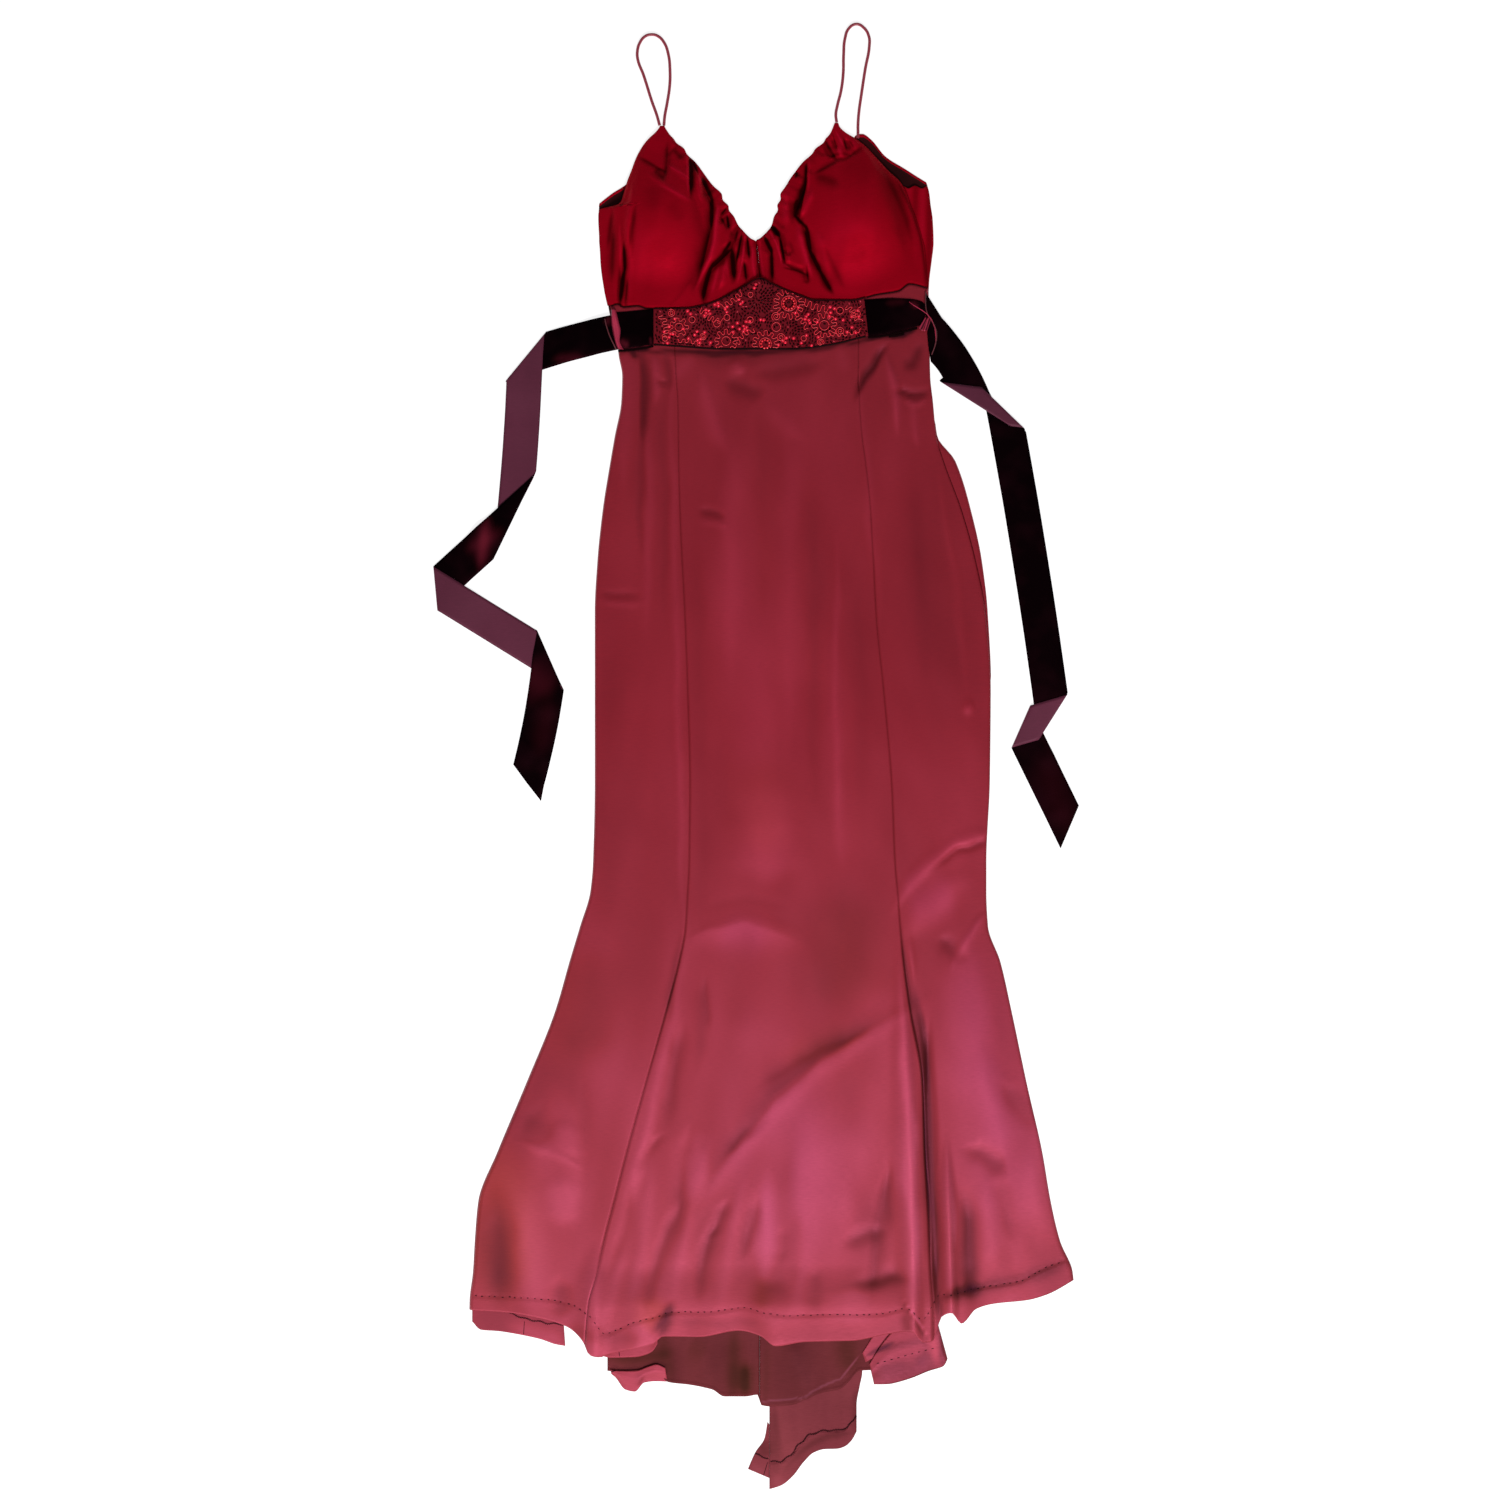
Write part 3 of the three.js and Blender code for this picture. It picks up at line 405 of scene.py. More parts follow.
satin_wine = satin(
    "satin_wine",
    (0.28, 0.0165, 0.0245),
    (0.245, 0.0135, 0.020),
    # painted light: the satin is painted lighter and pinker towards the hem, where the light falls
    glow=(0.30, 0.036, 0.049),
    reach=(-0.6, 0.1),
    deep=(0.3, 0.31, 0.18),
    bright=(1.65, 2.2, 2.8),
    Roughness=0.46,
    Specular_IOR_Level=0.7,
    Specular_Tint=(1, 0.18, 0.34),
    Sheen_Weight=0.04,
    Sheen_Roughness=0.4,
    Sheen_Tint=(1, 0.2, 0.35),
)
satin_back = satin(
    "satin_wrong_side",
    (0.215, 0.036, 0.045),
    (0.16, 0.024, 0.032),
    deep=(0.3, 0.3, 0.2),
    bright=(1.6, 1.9, 2.0),
    Roughness=0.75,
    Specular_IOR_Level=0.3,
    Specular_Tint=(1, 0.3, 0.4),
    Sheen_Weight=0.04,
    Sheen_Roughness=0.5,
    Sheen_Tint=(1, 0.4, 0.5),
)

SKIRT = table(
    "y left seam_left seam_right right back",
    (558, -158, -94, 118, 200, 200),
    (523, -158, -93, 118, 200, 200),
    (494, -153.5, -91.5, 118, 200.5, 200.5),
    (465, -154.5, -89.5, 119, 203.5, 203.5),
    (425, -162, -89, 122, 207.5, 208),
    (396, -167, -88.5, 126, 216, 229),
    (339, -176, -87, 132, 237, 247),
    (281, -182, -84.5, 135, 253, 259.5),
    (223, -185, -81.5, 138, 264, 266),
    (132, -185, -78, 147, 270, 270),
    (28, -185, -75.5, 156, 269, 269),
    (-64, -187, -76.5, 160, 265, 265),
    (-98, -190, -78, 163, 265, 265),
    (-139, -202, -80.5, 166, 267, 267),
    (-179, -214, -88, 170, 281, 281),
    (-236, -230.5, -103, 178, 294, 294),
    (-317, -263, -126, 192, 311, 311),
    (-397, -296.5, -148, 195, 329, 329),
    (-455, -319, -163, 198.5, 339, 339),
    (-501, -323, -175, 200, 350, 350),
    (-535, -325, -182, 201, 364, 364),
    (-570, -329, -192, 203, 367, 367),
    (-640, -330, -198, 204, 368, 368),
)
side_left, seam_left, seam_right, side_right, back_right = (
    curve(SKIRT, "y", name) for name in ("left", "seam_left", "seam_right", "right", "back")
)
WAIST = table(
    "x seam edge",
    (-179.5, 534, 525),
    (-117.5, 536.5, 529),
    (-94.5, 534, 527.5),
    (-35, 532, 524),
    (42, 532, 524),
    (82.5, 536.5, 528.5),
    (128.5, 547, 539),
    (164, 555, 547),
    (202, 559.5, 551.5),
)
waist_seam = curve(WAIST, "x", "seam")
waist_edge = curve(WAIST, "x", "edge")
BACK_WAIST = 536.5
HEM = table(
    "x front",
    (-330.5, -579), (-282, -582), (-247, -588), (-216.5, -597.5), (-198, -613.5), (-190.5, -628.5),
    (-178.5, -631), (-167, -627.5), (-136.5, -620.5), (-117.5, -616), (-106, -607.5), (-66, -608),
    (-19, -601), (5.5, -606.5), (22.5, -618), (57.5, -613.5), (110.5, -612.5), (149, -605),
    (179, -601), (191.5, -614.5), (202, -613.5), (213.5, -585), (224, -580), (235.5, -593),
    (253, -576.5), (274.5, -571), (311.5, -567.5), (335, -561), (367.5, -543.5),
)
front_hem = curve(HEM, "x", "front")
BACK_HEM = table(
    "x y",
    (-330.5, -568.5), (-174, -568.5), (-76, -590.5), (4.5, -590.5), (119.5, -590.5), (200, -570),
    (280.5, -551.5), (367.5, -526),
)
back_hem = curve(BACK_HEM, "x", "y")

# Where the turned hem is caught to the front by hand.
HEM_STITCHES = table(
    "x y",
    (-329, -562.5), (-242, -566.5), (-212, -572), (-191, -583.5), (-171.5, -604.5),
    (-153.5, -597.5), (-136.5, -590.5), (-117.5, -586), (-92.5, -579.5), (-59, -580), (-12, -575),
    (4.5, -579), (40, -583.5), (93, -582.5), (128.5, -582.5), (145.5, -581.5), (174, -575),
    (190.5, -588), (211.5, -560.5), (232, -558.5), (253, -553.5), (274.5, -550.5), (303.5, -545.5),
    (327.5, -533), (356, -521.5),
)
hem_stitches = curve(HEM_STITCHES, "x", "y")

# Folds: from where to where, how high, how wide to the left and right (or the same) and how bowed.
FOLDS = "x0 y0 x1 y1 height left right bow"
SKIRT_FOLDS = table(
    FOLDS,
    # under the waist: the pleat at the left, dents under the beaded panel, the hip dents
    (-133.5, 522.5, -129, 424, -6.5, 8, 3), (-148.5, 522.5, -152, 373, 1.6, 9),
    (-132.5, 419, -133.5, 304, -2, 5, 4), (-105, 520.5, -101.5, 479, -3, 5, 4),
    (-117.5, 489.5, -105, 481.5, -3, 2.6), (-116.5, 516, -116.5, 467.5, 3, 5, 6),
    (-62.5, 488, -39.5, 419, 2.6, 9), (-32.5, 483.5, 4.5, 476.5, -3.4, 10, 10, 3),
    (-24.5, 510, -18.5, 496, 3.4, 8), (4.5, 495, 68.5, 509, -3, 10, 9, 2),
    (51.5, 426, 16, 459.5, 1.2, 9), (148, 524, 118, 474.5, -7.5, 3, 6, 3),
    (151.5, 509, 163, 436.5, 4.2, 5, 5, -2), (189.5, 529.5, 172, 502, -5, 6),
    (160.5, 474.5, 196.5, 474.5, -5, 5, 3, 3), (172, 463, 194, 465, 2.6, 3, 3, 2),
    (181.5, 460.5, 186, 419, 2.2, 6),
    # long soft bands down the panels and beside the seams
    (-121, 465, -125.5, 235, 2, 7), (-106, 465, -105, 246.5, -1.2, 5),
    (-97, 459.5, -84.5, -110, 1.9, 5.5), (-68, 304, -62.5, -110, -1, 10),
    (-28, 419, -29, 177.5, 2.2, 15, 14), (41, 419, 37.5, 114.5, 1.9, 14, 13),
    (6.5, 442, 9, 235, -0.9, 9), (68.5, 304, 67.5, 39.5, -1.5, 9), (94, 275.5, 94, -6.5, 2.2, 6, 6, 3),
    (117, 235, 121.5, 28, -1, 10), (121.5, 465, 140, 246.5, 1.4, 6),
    (211.5, 373, 240, 154.5, 1.2, 5, 5, -3), (182.5, 384.5, 194, 177.5, -1, 10),
    # small dents
    (-62.5, 337.5, -35, 333, -3, 4.5, 3.5), (-62.5, 326, -30, 322.5, 1.2, 3),
    (-176.5, 244.5, -136, 242, -1.8, 4), (-179.5, 234, -131.5, 231.5, 1.2, 3),
    (240, 113.5, 250.5, 118, 2.4, 6),
    # the swell at the knee and the folds that run from the side seam at the right
    (11, -12, 11, -75.5, 1.6, 34), (-59, -145.5, 39, -144.5, 1.0, 9, 18, -12),
    (-51, -113.5, 27.5, -113.5, -0.5, 8, 8, -8), (168.5, -104, 264, -31.5, 3.2, 9, 6, -9),
    (209, -67.5, 269, -42, -3.4, 4, 4, -4), (174.5, -141, 236.5, -87, 2.6, 14, 13, -4),
    (231, -179, 263, -127, 2.8, 6, 6, -3), (211.5, -153.5, 239, -175.5, -2.8, 9),
    (269, -115.5, 272, -146.5, -2, 5),
    # the long crease across the flare, with a dark hollow above it
    (-51, -440, 154, -248, 1.1, 6, 10, -19), (13.5, -313.5, 128.5, -258, -1.1, 14, 6, -6),
    (-37, -399.5, 9, -360.5, -1, 10, 5, -3), (-56.5, -199.5, -56.5, -250, -1.8, 3),
    # the hollows and gathers of the centre panel above its hem
    (-92.5, -225, -166, -556, 3.2, 7.8, 7.8, 2), (-86.5, -259.5, -100.5, -356, -2.2, 7.8, 7.8, 2),
    (-108.5, -380, -133.5, -413.5, -1.6, 6.5, 6.5, 4), (-143, -440, -162.5, -526, -3.7, 6.5, 5.9, -2),
    (-76, -374.5, -89, -460.5, -2.3, 7.8, 7.8, 2), (-89, -463, -123.5, -558.5, -3.6, 9.1, 7.8, 3),
    (-122, -432, -140.5, -556, 2.1, 7.8), (-62.5, -409, -92.5, -556, 2.3, 9.1, 9.1, 3),
    (-32.5, -457, -51, -491.5, -2.8, 6.5), (-50, -488, -66, -555, -3.7, 7.8, 6.5, 2),
    (-16.5, -443.5, -39.5, -558.5, 2.1, 9.1, 9.1, 2), (2, -449, -14, -509, -3.1, 6.5, 6.5, -1),
    (12.5, -455, 6.5, -570, 1.8, 10.4), (28.5, -487, 27.5, -521.5, -1.4, 6.5),
    (28.5, -541, 28.5, -579, -1.2, 11.7), (50.5, -409, 49, -558.5, 2.1, 14.3),
    (70, -529.5, 68.5, -570, -2, 7.8), (103, -374.5, 94, -466.5, 1.8, 23.4),
    (105.5, -501, 142.5, -489.5, -2.8, 9.1, 10.4, -3), (152.5, -409, 151.5, -480, -2.3, 5.2, 3.9),
    (154, -426, 133, -547, -3.1, 9.1, 6.5, 3), (119.5, -545.5, 171, -541, -3.4, 10.4, 10.4, -4),
    # folds of the right panel beside the flutes
    (173.5, -179, 196.5, -305.5, -3.6, 5.2, 3.9, -2), (175.5, -161.5, 190.5, -276.5, 3, 3.9, 3.4),
    (241, -455, 248, -556, -4.2, 10.4, 9.1), (244.5, -391.5, 283.5, -417, -3.4, 7.8, 10.4, -3),
    (289.5, -323.5, 315, -365, -2.5, 11.7, 11.7, -4), (285, -429.5, 293, -489.5, -1.7, 9.1),
    (263, -294, 278, -391.5, 2.3, 15.6), (264, -437.5, 271, -526, 2.5, 11.7),
    (317, -397.5, 333, -501, 2.1, 16.9),
    # mild hollows of the left panel
    (-262.5, -353.5, -230.5, -379, -1.7, 16.9), (-263.5, -386, -209.5, -410, 1.6, 5.2),
    (-292.5, -472, -293.5, -560.5, -2.3, 16.9), (-223.5, -542, -223.5, -583.5, -1.9, 11.7),
    (-224.5, -429.5, -224.5, -475.5, 1.8, 18.2), (-217.5, -365, -219, -399.5, 1.6, 15.6),
    (-260, -443.5, -258, -558.5, 1.8, 16.9), (-196, -328.5, -199.5, -455, -0.8, 7.8),
)
# Deep flutes: at the left seam, two at the centre panel's hem, and those where the right seam falls in.
SKIRT_FLUTES = table(
    FOLDS,
    (-184.5, -526, -188, -639, 5, 13), (-133.5, -552.5, -132.5, -629.5, 3, 14),
    (22.5, -558.5, 24, -627.5, 4, 24), (168.5, -236.5, 181.5, -604.5, 8, 9, 12, -2),
    (198.5, -294, 209, -558.5, -9, 6, 5, 2), (219.5, -414.5, 224, -587, 7, 6),
)
# Broad patches of painted light and shade on the satin, and painted shadows. Their height is how
# much: 1 is lightest, -1 deepest and -2 in shadow.
SKIRT_PAINTED_LIGHT = table(
    FOLDS,
    # shadow under the ribbons and the beaded panel
    (-155.5, 522.5, -122, 526.5, -1.8, 3), (-142, 524, -138.5, 513.5, -1.3, 4, 3),
    (-120, 525, 128.5, 535.5, -1.5, 3.5, 4, 9), (-76, 516, 50.5, 516, -0.35, 10, 10, 3),
    (128.5, 537.5, 187, 548.5, -2.4, 3.4, 3.4, 2), (157, 541, 172, 542, -1.4, 5),
    (-73, 520.5, -92.5, 490.5, 0.22, 8), (96.5, 522.5, 102, 497.5, 0.2, 8),
    # the slim part
    (-1.5, 407.5, 4.5, -41, 0.16, 44), (194, 373, 205.5, 51, -0.2, 40),
    (-166, 177.5, -166, -75.5, -0.2, 20), (11, 16.5, 11, -87, 0.3, 32), (94, 22.5, 98.5, -64, 0.25, 11),
    # the knee: an arc of light, a deep place beside it
    (-71.5, -151, 39, -153.5, 0.5, 4, 24, -13), (90.5, -98.5, 102, -225, -0.4, 46),
    (-59, -207.5, -67, -294, -0.3, 8), (-89, -156, -98, -236.5, -0.5, 3, 5),
    # light and deep along the crease across the flare
    (-55.5, -429.5, 165.5, -233, -0.32, 14, 2.6, -20), (11, -337.5, 121.5, -259.5, -0.36, 22, 4, -6),
    (-32.5, -399.5, -5, -374.5, -0.3, 12, 4), (-51, -436.5, 162, -243, 0.26, 2.6, 22, -20),
    (-24.5, -259.5, 50.5, -273, 0.2, 26), (50.5, -397.5, 131, -374.5, 0.3, 50),
    # the flare of the centre
    (-145, -282.5, -162.5, -455, 0.2, 40), (-76, -374.5, -64.5, -443.5, 0.5, 20),
    (16, -432, 11, -529.5, 0.72, 14), (-225.5, -351.5, -223.5, -443.5, -0.25, 16),
    (-70.5, -397.5, -67, -455, 0.3, 16), (179, -363, 174.5, -443.5, 0.3, 16),
    (-128, -552.5, -116.5, -593, -0.28, 18), (108, -547, 105.5, -598.5, 0.35, 18),
    (280.5, -512.5, 283.5, -558.5, -0.18, 16), (209, -512.5, 211.5, -590.5, -0.8, 3, 6),
    (225, -495, 231, -572, -0.55, 4), (220.5, -563, 263, -549, -0.5, 6, 3),
    (-96, -573.5, -116.5, -602, -0.6, 3, 6), (170, -567.5, 194, -610, -0.6, 1.2, 3),
    (173.5, -567.5, 198.5, -611, 0.7, 1.4, 1.2), (45.5, -472, 45.5, -547, -0.3, 8),
    (10, -542, 7.5, -570, -0.5, 12), (90.5, -552.5, 171, -541, -0.35, 7),
    # the ridge beside the right seam, its shadow, and the right panel
    (168.5, -248, 181.5, -558.5, 0.65, 5, 6, -3), (187, -225, 197.5, -334, -0.7, 3, 8, -4),
    (193, -334, 206.5, -547, -0.6, 5, 8), (177, -115.5, 223, -98.5, 0.3, 30),
    (236.5, -167.5, 257.5, -340, 0.42, 26), (280.5, -351.5, 315, -478, 0.25, 30),
    (225, -449, 227.5, -558.5, 0.5, 4), (242.5, -455, 246, -552.5, -0.5, 10, 7),
    # the left panel
    (-186.5, -179, -196, -282.5, -0.32, 34), (-260, -360.5, -235, -383.5, -0.2, 15),
    (-225.5, -340, -220, -472, 0.6, 26), (-271.5, -449, -260, -558.5, 0.2, 22),
    (-294.5, -449, -293.5, -558.5, -0.75, 20, 22), (-223.5, -549, -223.5, -583.5, -0.35, 9),
    # the turned hem
    (-225.5, -605.5, -133.5, -612.5, -0.3, 9, 9, -2), (-133.5, -610, 200, -606.5, -0.2, 13),
    (-97, -572, -108.5, -604.5, -1.3, 8, 7), (-93.5, -591.5, -0.5, -591.5, -0.4, 7),
    (252.5, -556, 356, -528.5, -0.7, 8, 10), (220.5, -565, 257.5, -551.5, -0.9, 9),
    (171, -583.5, 179, -604.5, -0.5, 8),
)
# Where a cooler or warmer sheen hue is painted on the shot satin.
SKIRT_PAINTED_HUE = table(
    FOLDS,
    (-294.5, -397.5, -297, -558.5, -1.0, 40), (-225.5, -167.5, -202.5, -294, -0.35, 55),
    (-113, -565, -120, -598.5, -1.0, 18), (7.5, -542, 7.5, -570, -0.7, 14),
    (96.5, -110, 108, -225, -0.5, 44), (39, -296, 119.5, -261.5, -0.7, 22, 8),
    (7.5, 51, 7.5, -52.5, -0.4, 34), (251.5, -167.5, 292, -478, 0.8, 50),
    (16, -328.5, 73.5, -524, 0.6, 80), (-39.5, -144.5, 10, -156, 0.5, 24),
    (171, -110, 223, -98.5, 0.4, 34),
)
SOFT = 0.5  # height of a soft fold against the one in its table
# Painted shade and light from the folds: hollows painted deeper, ridges lighter.
FOLD_PAINTED_SHADE = 0.13  # how much lighter or deeper the satin looks for each millimetre in that table
FLUTE_PAINTED_SHADE = 0.06  # and for each millimetre of a flute
FLARE = -115  # the seams fall in below this
draws = np.random.default_rng(7)


def ripple(count, longest, shortest, height):
    """Low waves in all directions, as cloth keeps from handling, the longest ones highest."""
    size = np.geomspace(longest, shortest, count)
    turn, phase = draws.uniform(0, np.pi, count), draws.uniform(0, 2 * np.pi, count)
    rise = height * (size / longest) ** 1.2

    def at(x, y):
        total = 0
        for length, angle, start, top in zip(size, turn, phase, rise):
            way = x * np.cos(angle) + 0.4 * y * np.sin(angle)
            total = total + top * np.sin(2 * np.pi * way / length + start)
        return total

    return at


skirt_ripple = ripple(14, 120, 22, 0.35)
wander_x, wander_y, cloud = ripple(9, 60, 16, 1.1), ripple(9, 60, 16, 1.1), ripple(12, 150, 30, 0.09)


def wandering(folds):
    """The folds of a table, with edges that are not quite straight."""
    height = fold_height(folds)
    return lambda x, y: height(x + wander_x(x, y), y + wander_y(x, y))


skirt_folds, skirt_flutes = wandering(SKIRT_FOLDS), fold_height(SKIRT_FLUTES)
skirt_painted_light, skirt_painted_hue = wandering(SKIRT_PAINTED_LIGHT), wandering(SKIRT_PAINTED_HUE)


def seam_shade(x, y):
    """The crisp shade where the flare's panels fall in at the seams, deeper at the right one."""
    right, left = x - seam_right(y) - 0.7, x - seam_left(y) - 0.5
    crisp = 1.3 * swell(right, 1.3) + 0.6 * swell(right - 4, 4) * ease((-190 - y) / 60)
    at_right = crisp * ease((y + 560) / 160)
    at_left = 0.8 * swell(left, 1.2) * ease((y + 330) / 120)
    return -ease((FLARE - y) / 70) * (at_right + at_left)


# The painted light and shade of the skirt: from its folds and flutes, the listed patches, soft random
# patches that grow towards the hem, and the painted shade at its seams.
def skirt_lustre(x, y):
    folds = FOLD_PAINTED_SHADE * skirt_folds(x, y) + FLUTE_PAINTED_SHADE * skirt_flutes(x, y)
    clouds = cloud(x, y) * (0.5 + 0.5 * ease((-200 - y) / 250 + 0.35))
    return folds + skirt_painted_light(x, y) + clouds + seam_shade(x, y)


CROWN = 5  # how far the front stands up along its middle
# The hem stands off the back by this much, below a line and between two others.
HEM_LIFT, LIFT_TOP, LIFT_LEFT, LIFT_RIGHT = 4.8, -526, -216.5, 269


def soft_floor(height):
    """Keeps a height above nought, with no hard edge where it meets it."""
    return 0.5 * (height + np.sqrt(height * height + 0.4))


def crown(x, y):
    across = np.clip((x - side_left(y)) / (side_right(y) - side_left(y)), 0, 1)
    return CROWN * (1 - np.abs(2 * across - 1) ** 4)


def hem_lift(x, y):
    across = ease((x - LIFT_LEFT) / 36) * ease((LIFT_RIGHT - x) / 34)
    return HEM_LIFT * ease((LIFT_TOP - y) / 50) * across


def front_height(x, y):
    folds = SOFT * skirt_folds(x, y) + skirt_flutes(x, y)
    return FRONT + soft_floor(crown(x, y) + folds + skirt_ripple(x, y)) + hem_lift(x, y)


def valley(away, depth, width):
    """A sewn seam: a narrow valley between two low welts, where the allowances lie under it."""
    return -depth * swell(away, width) + 0.3 * depth * swell(abs(away) - 4, 2.6)


def stitch_pucker(x, y):
    """The hem is thicker below its stitches, which draw small dents."""
    away = y - hem_stitches(x)
    step = np.sin(2 * np.pi * x / 8.3 + 1.7 * np.sin(x / 31))
    dents = 0.35 * (0.3 + 0.7 * step) * swell(away, 2.2)
    return 0.45 * ease(-away / 3) - dents


def skirt_face(x, y, u, v):
    height = front_height(x, y) + valley(x - seam_left(y), 0.14, 0.8) + valley(x - seam_right(y), 0.14, 0.8)
    height = height + stitch_pucker(x, y)
    rolled = (height - 1) * (1 - ease((x - side_left(y)) / 2.4) ** 0.5)
    seamed = 0.9 * (1 - ease((side_right(y) - x) / 2))
    return height - rolled - seamed


def skirt_plan(left, right):
    """The plan of a front panel, with closer rows towards its hem."""
    plan = between(left, right, lambda x: waist_seam(x) - SEAM, front_hem)
    return lambda u, v: plan(u, v * (1.35 - 0.35 * v))


SKIRT_ROWS = 400
SKIRT_FRONTS = [
    ("side_left", side_left, seam_left, 52, (0.15, 1.135), 0.135),
    ("center", seam_left, seam_right, 96, (0.4, 1.165), 0.33),
    ("side_right", seam_right, side_right, 52, (0.2, 1.13), 0.134),
]
for side, left, right, columns, flat, area in SKIRT_FRONTS:
    points = laid(skirt_plan(left, right), skirt_face, columns, SKIRT_ROWS)
    panel = sew(
        f"satin_skirt_{side}",
        points,
        (satin_wine, satin_back),
        f"skirt_{side}",
        "satin_wine",
        lustre=over(points, skirt_lustre),
        rose=over(points, skirt_painted_hue),
    )


# The back lies flat on the floor and comes round the right hip on top, up to the side seam.
def skirt_back_points():
    fold = 4  # width of the fold at the hip
    u, v = grid(40, 180)
    x, y = between(side_left, back_right, level(BACK_WAIST), back_hem)(u, v)
    under = np.stack((x + 1.5 * (1 - u), y, 0 * x + CLOTH), -1)
    wide = grid(14, 180)[0]
    edge_x, edge_y = x[:, -1:], y[:, -1:]
    seam_x = side_right(edge_y) + 0.1
    round_x = mix(edge_x, seam_x, wide)
    rise = np.sqrt(1 - (1 - np.clip((edge_x - round_x) / fold, 0, 1)) ** 2)
    narrow = np.clip((edge_x - seam_x) / fold, 0, 1)
    top = mix(CLOTH, FRONT - SEAM, np.where(edge_x - seam_x < fold, wide * narrow, rise))
    upper = np.stack((round_x, edge_y + 0 * wide, top), -1)
    return np.concatenate((under, upper[:, 1:]), axis=1)


back = sew("satin_skirt_back", skirt_back_points(), (satin_wine,), "skirt_back", "satin_wine")

# ---------- Hem layers ----------
# Below the front's hem show the back's own hem at the left, the flutes of both hems that stand on
# them, and two places where the hem turns over and shows its wrong side with the overlocked edge.
STRIP = "x0 y0 x1 y1 z0 z1"
SECOND, THIRD = 3.3, 4.8  # height of what lies on the lining, and on a turned hem


def strip(sections, columns, rows, relief=None):
    """The points of a strip through cross sections, each from its inner edge to its outer one."""
    rows_of = [dict(section, index=index) for index, section in enumerate(sections)]
    x0, y0, x1, y1, z0, z1 = (curve(rows_of, "index", name) for name in STRIP.split())
    u, v = grid(columns, rows)
    at = v * (len(sections) - 1)
    x, y = mix(x0(at), x1(at), u), mix(y0(at), y1(at), u)
    height = mix(z0(at), z1(at), ease((u - 0.3) / 0.7)) + CLOTH
    if relief:
        height = height + relief(x, y, u, v)
    return np.stack((x, y, height), -1)


def tubes(name, paths, radius, material, sides=6):
    """Cords or threads through lists of points, all in one mesh, with closed ends."""
    spots, faces = [], []
    start = 0
    turn = np.arange(sides) * 2 * np.pi / sides
    for path in paths:
        path = np.asarray(path, float)
        ahead = np.gradient(path, axis=0)
        ahead /= np.linalg.norm(ahead, axis=1)[:, None] + 1e-9
        beside = np.cross(ahead, (0, 0, 1.0))
        beside /= np.linalg.norm(beside, axis=1)[:, None] + 1e-9
        above = np.cross(beside, ahead)
        ring = beside[:, None] * np.cos(turn)[:, None] + above[:, None] * np.sin(turn)[:, None]
        spots.append((path[:, None] + radius * ring).reshape(-1, 3))
        count = len(path)
        number = start + np.arange(count * sides).reshape(count, sides)
        after = np.roll(number, -1, axis=1)
        faces += np.stack((number[:-1], number[1:], after[1:], after[:-1]), -1).reshape(-1, 4).tolist()
        faces += [number[0].tolist(), number[-1, ::-1].tolist()]
        start += count * sides
    piece = pieced(name, np.concatenate(spots), faces, (material,))
    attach(piece, "root")
    return piece


def flute_relief(count, height, phase=0.0):
    """Waves across a strip, which grow towards its outer edge."""
    return lambda x, y, u, v: height * (0.2 + 0.8 * u) * (1 - np.cos(2 * np.pi * (count * v + phase))) / 2


BACK_HEM_LEFT = table(
    "x0 x1 y1",
    (-326, -326, -593), (-315.5, -315.5, -602.5), (-296, -296, -604), (-263.5, -263.5, -609.5),
    (-246.5, -246.5, -613.5), (-230.5, -230.5, -619), (-222.5, -219, -621),
)
for row in BACK_HEM_LEFT:
    row.update(y0=float(back_hem(row["x0"])) - 0.1, z0=0, z1=0)
HEM_FLUTE_LEFT = table(
    STRIP,
    (-177.5, -604.5, -178.5, -631, SECOND, SECOND),
    (-167, -598.5, -167, -633.5, SECOND, SECOND),
    (-138.5, -590.5, -139, -633, SECOND, SECOND),
    (-121, -583.5, -120, -627.5, SECOND, SECOND),
    (-112, -581.5, -113, -618, SECOND, SECOND),
)
HEM_TURN_LEFT = table(
    STRIP,
    (-167, -648, -165.5, -652.5, SECOND, SECOND),
    (-159, -649, -160, -658.5, SECOND, 0),
    (-146.5, -649, -150, -671, SECOND, 0),
    (-136, -648.5, -139, -673.5, SECOND, 0),
    (-124.5, -644.5, -128, -663, SECOND, 0),
    (-114, -641.5, -116.5, -661.5, SECOND, 0),
    (-104, -645.5, -101.5, -662, SECOND, 0),
)
HEM_FLUTE_RIGHT = table(
    STRIP,
    (130.5, -641, 136, -665, THIRD, 0),
    (145, -617.5, 151.5, -664.5, THIRD, 0),
    (167.5, -595, 177, -658.5, THIRD, 0),
    (186, -590.5, 198.5, -650, THIRD, 0),
    (200, -590.5, 216, -643.5, THIRD, 0),
    (208, -590.5, 220.5, -635.5, THIRD, 0),
)
HEM_TURN_RIGHT = table(
    STRIP,
    (144.5, -590.5, 171, -598.5, SECOND, SECOND),
    (133, -611, 159.5, -619.5, SECOND, SECOND),
    (122.5, -628.5, 126, -639, SECOND, SECOND),
)
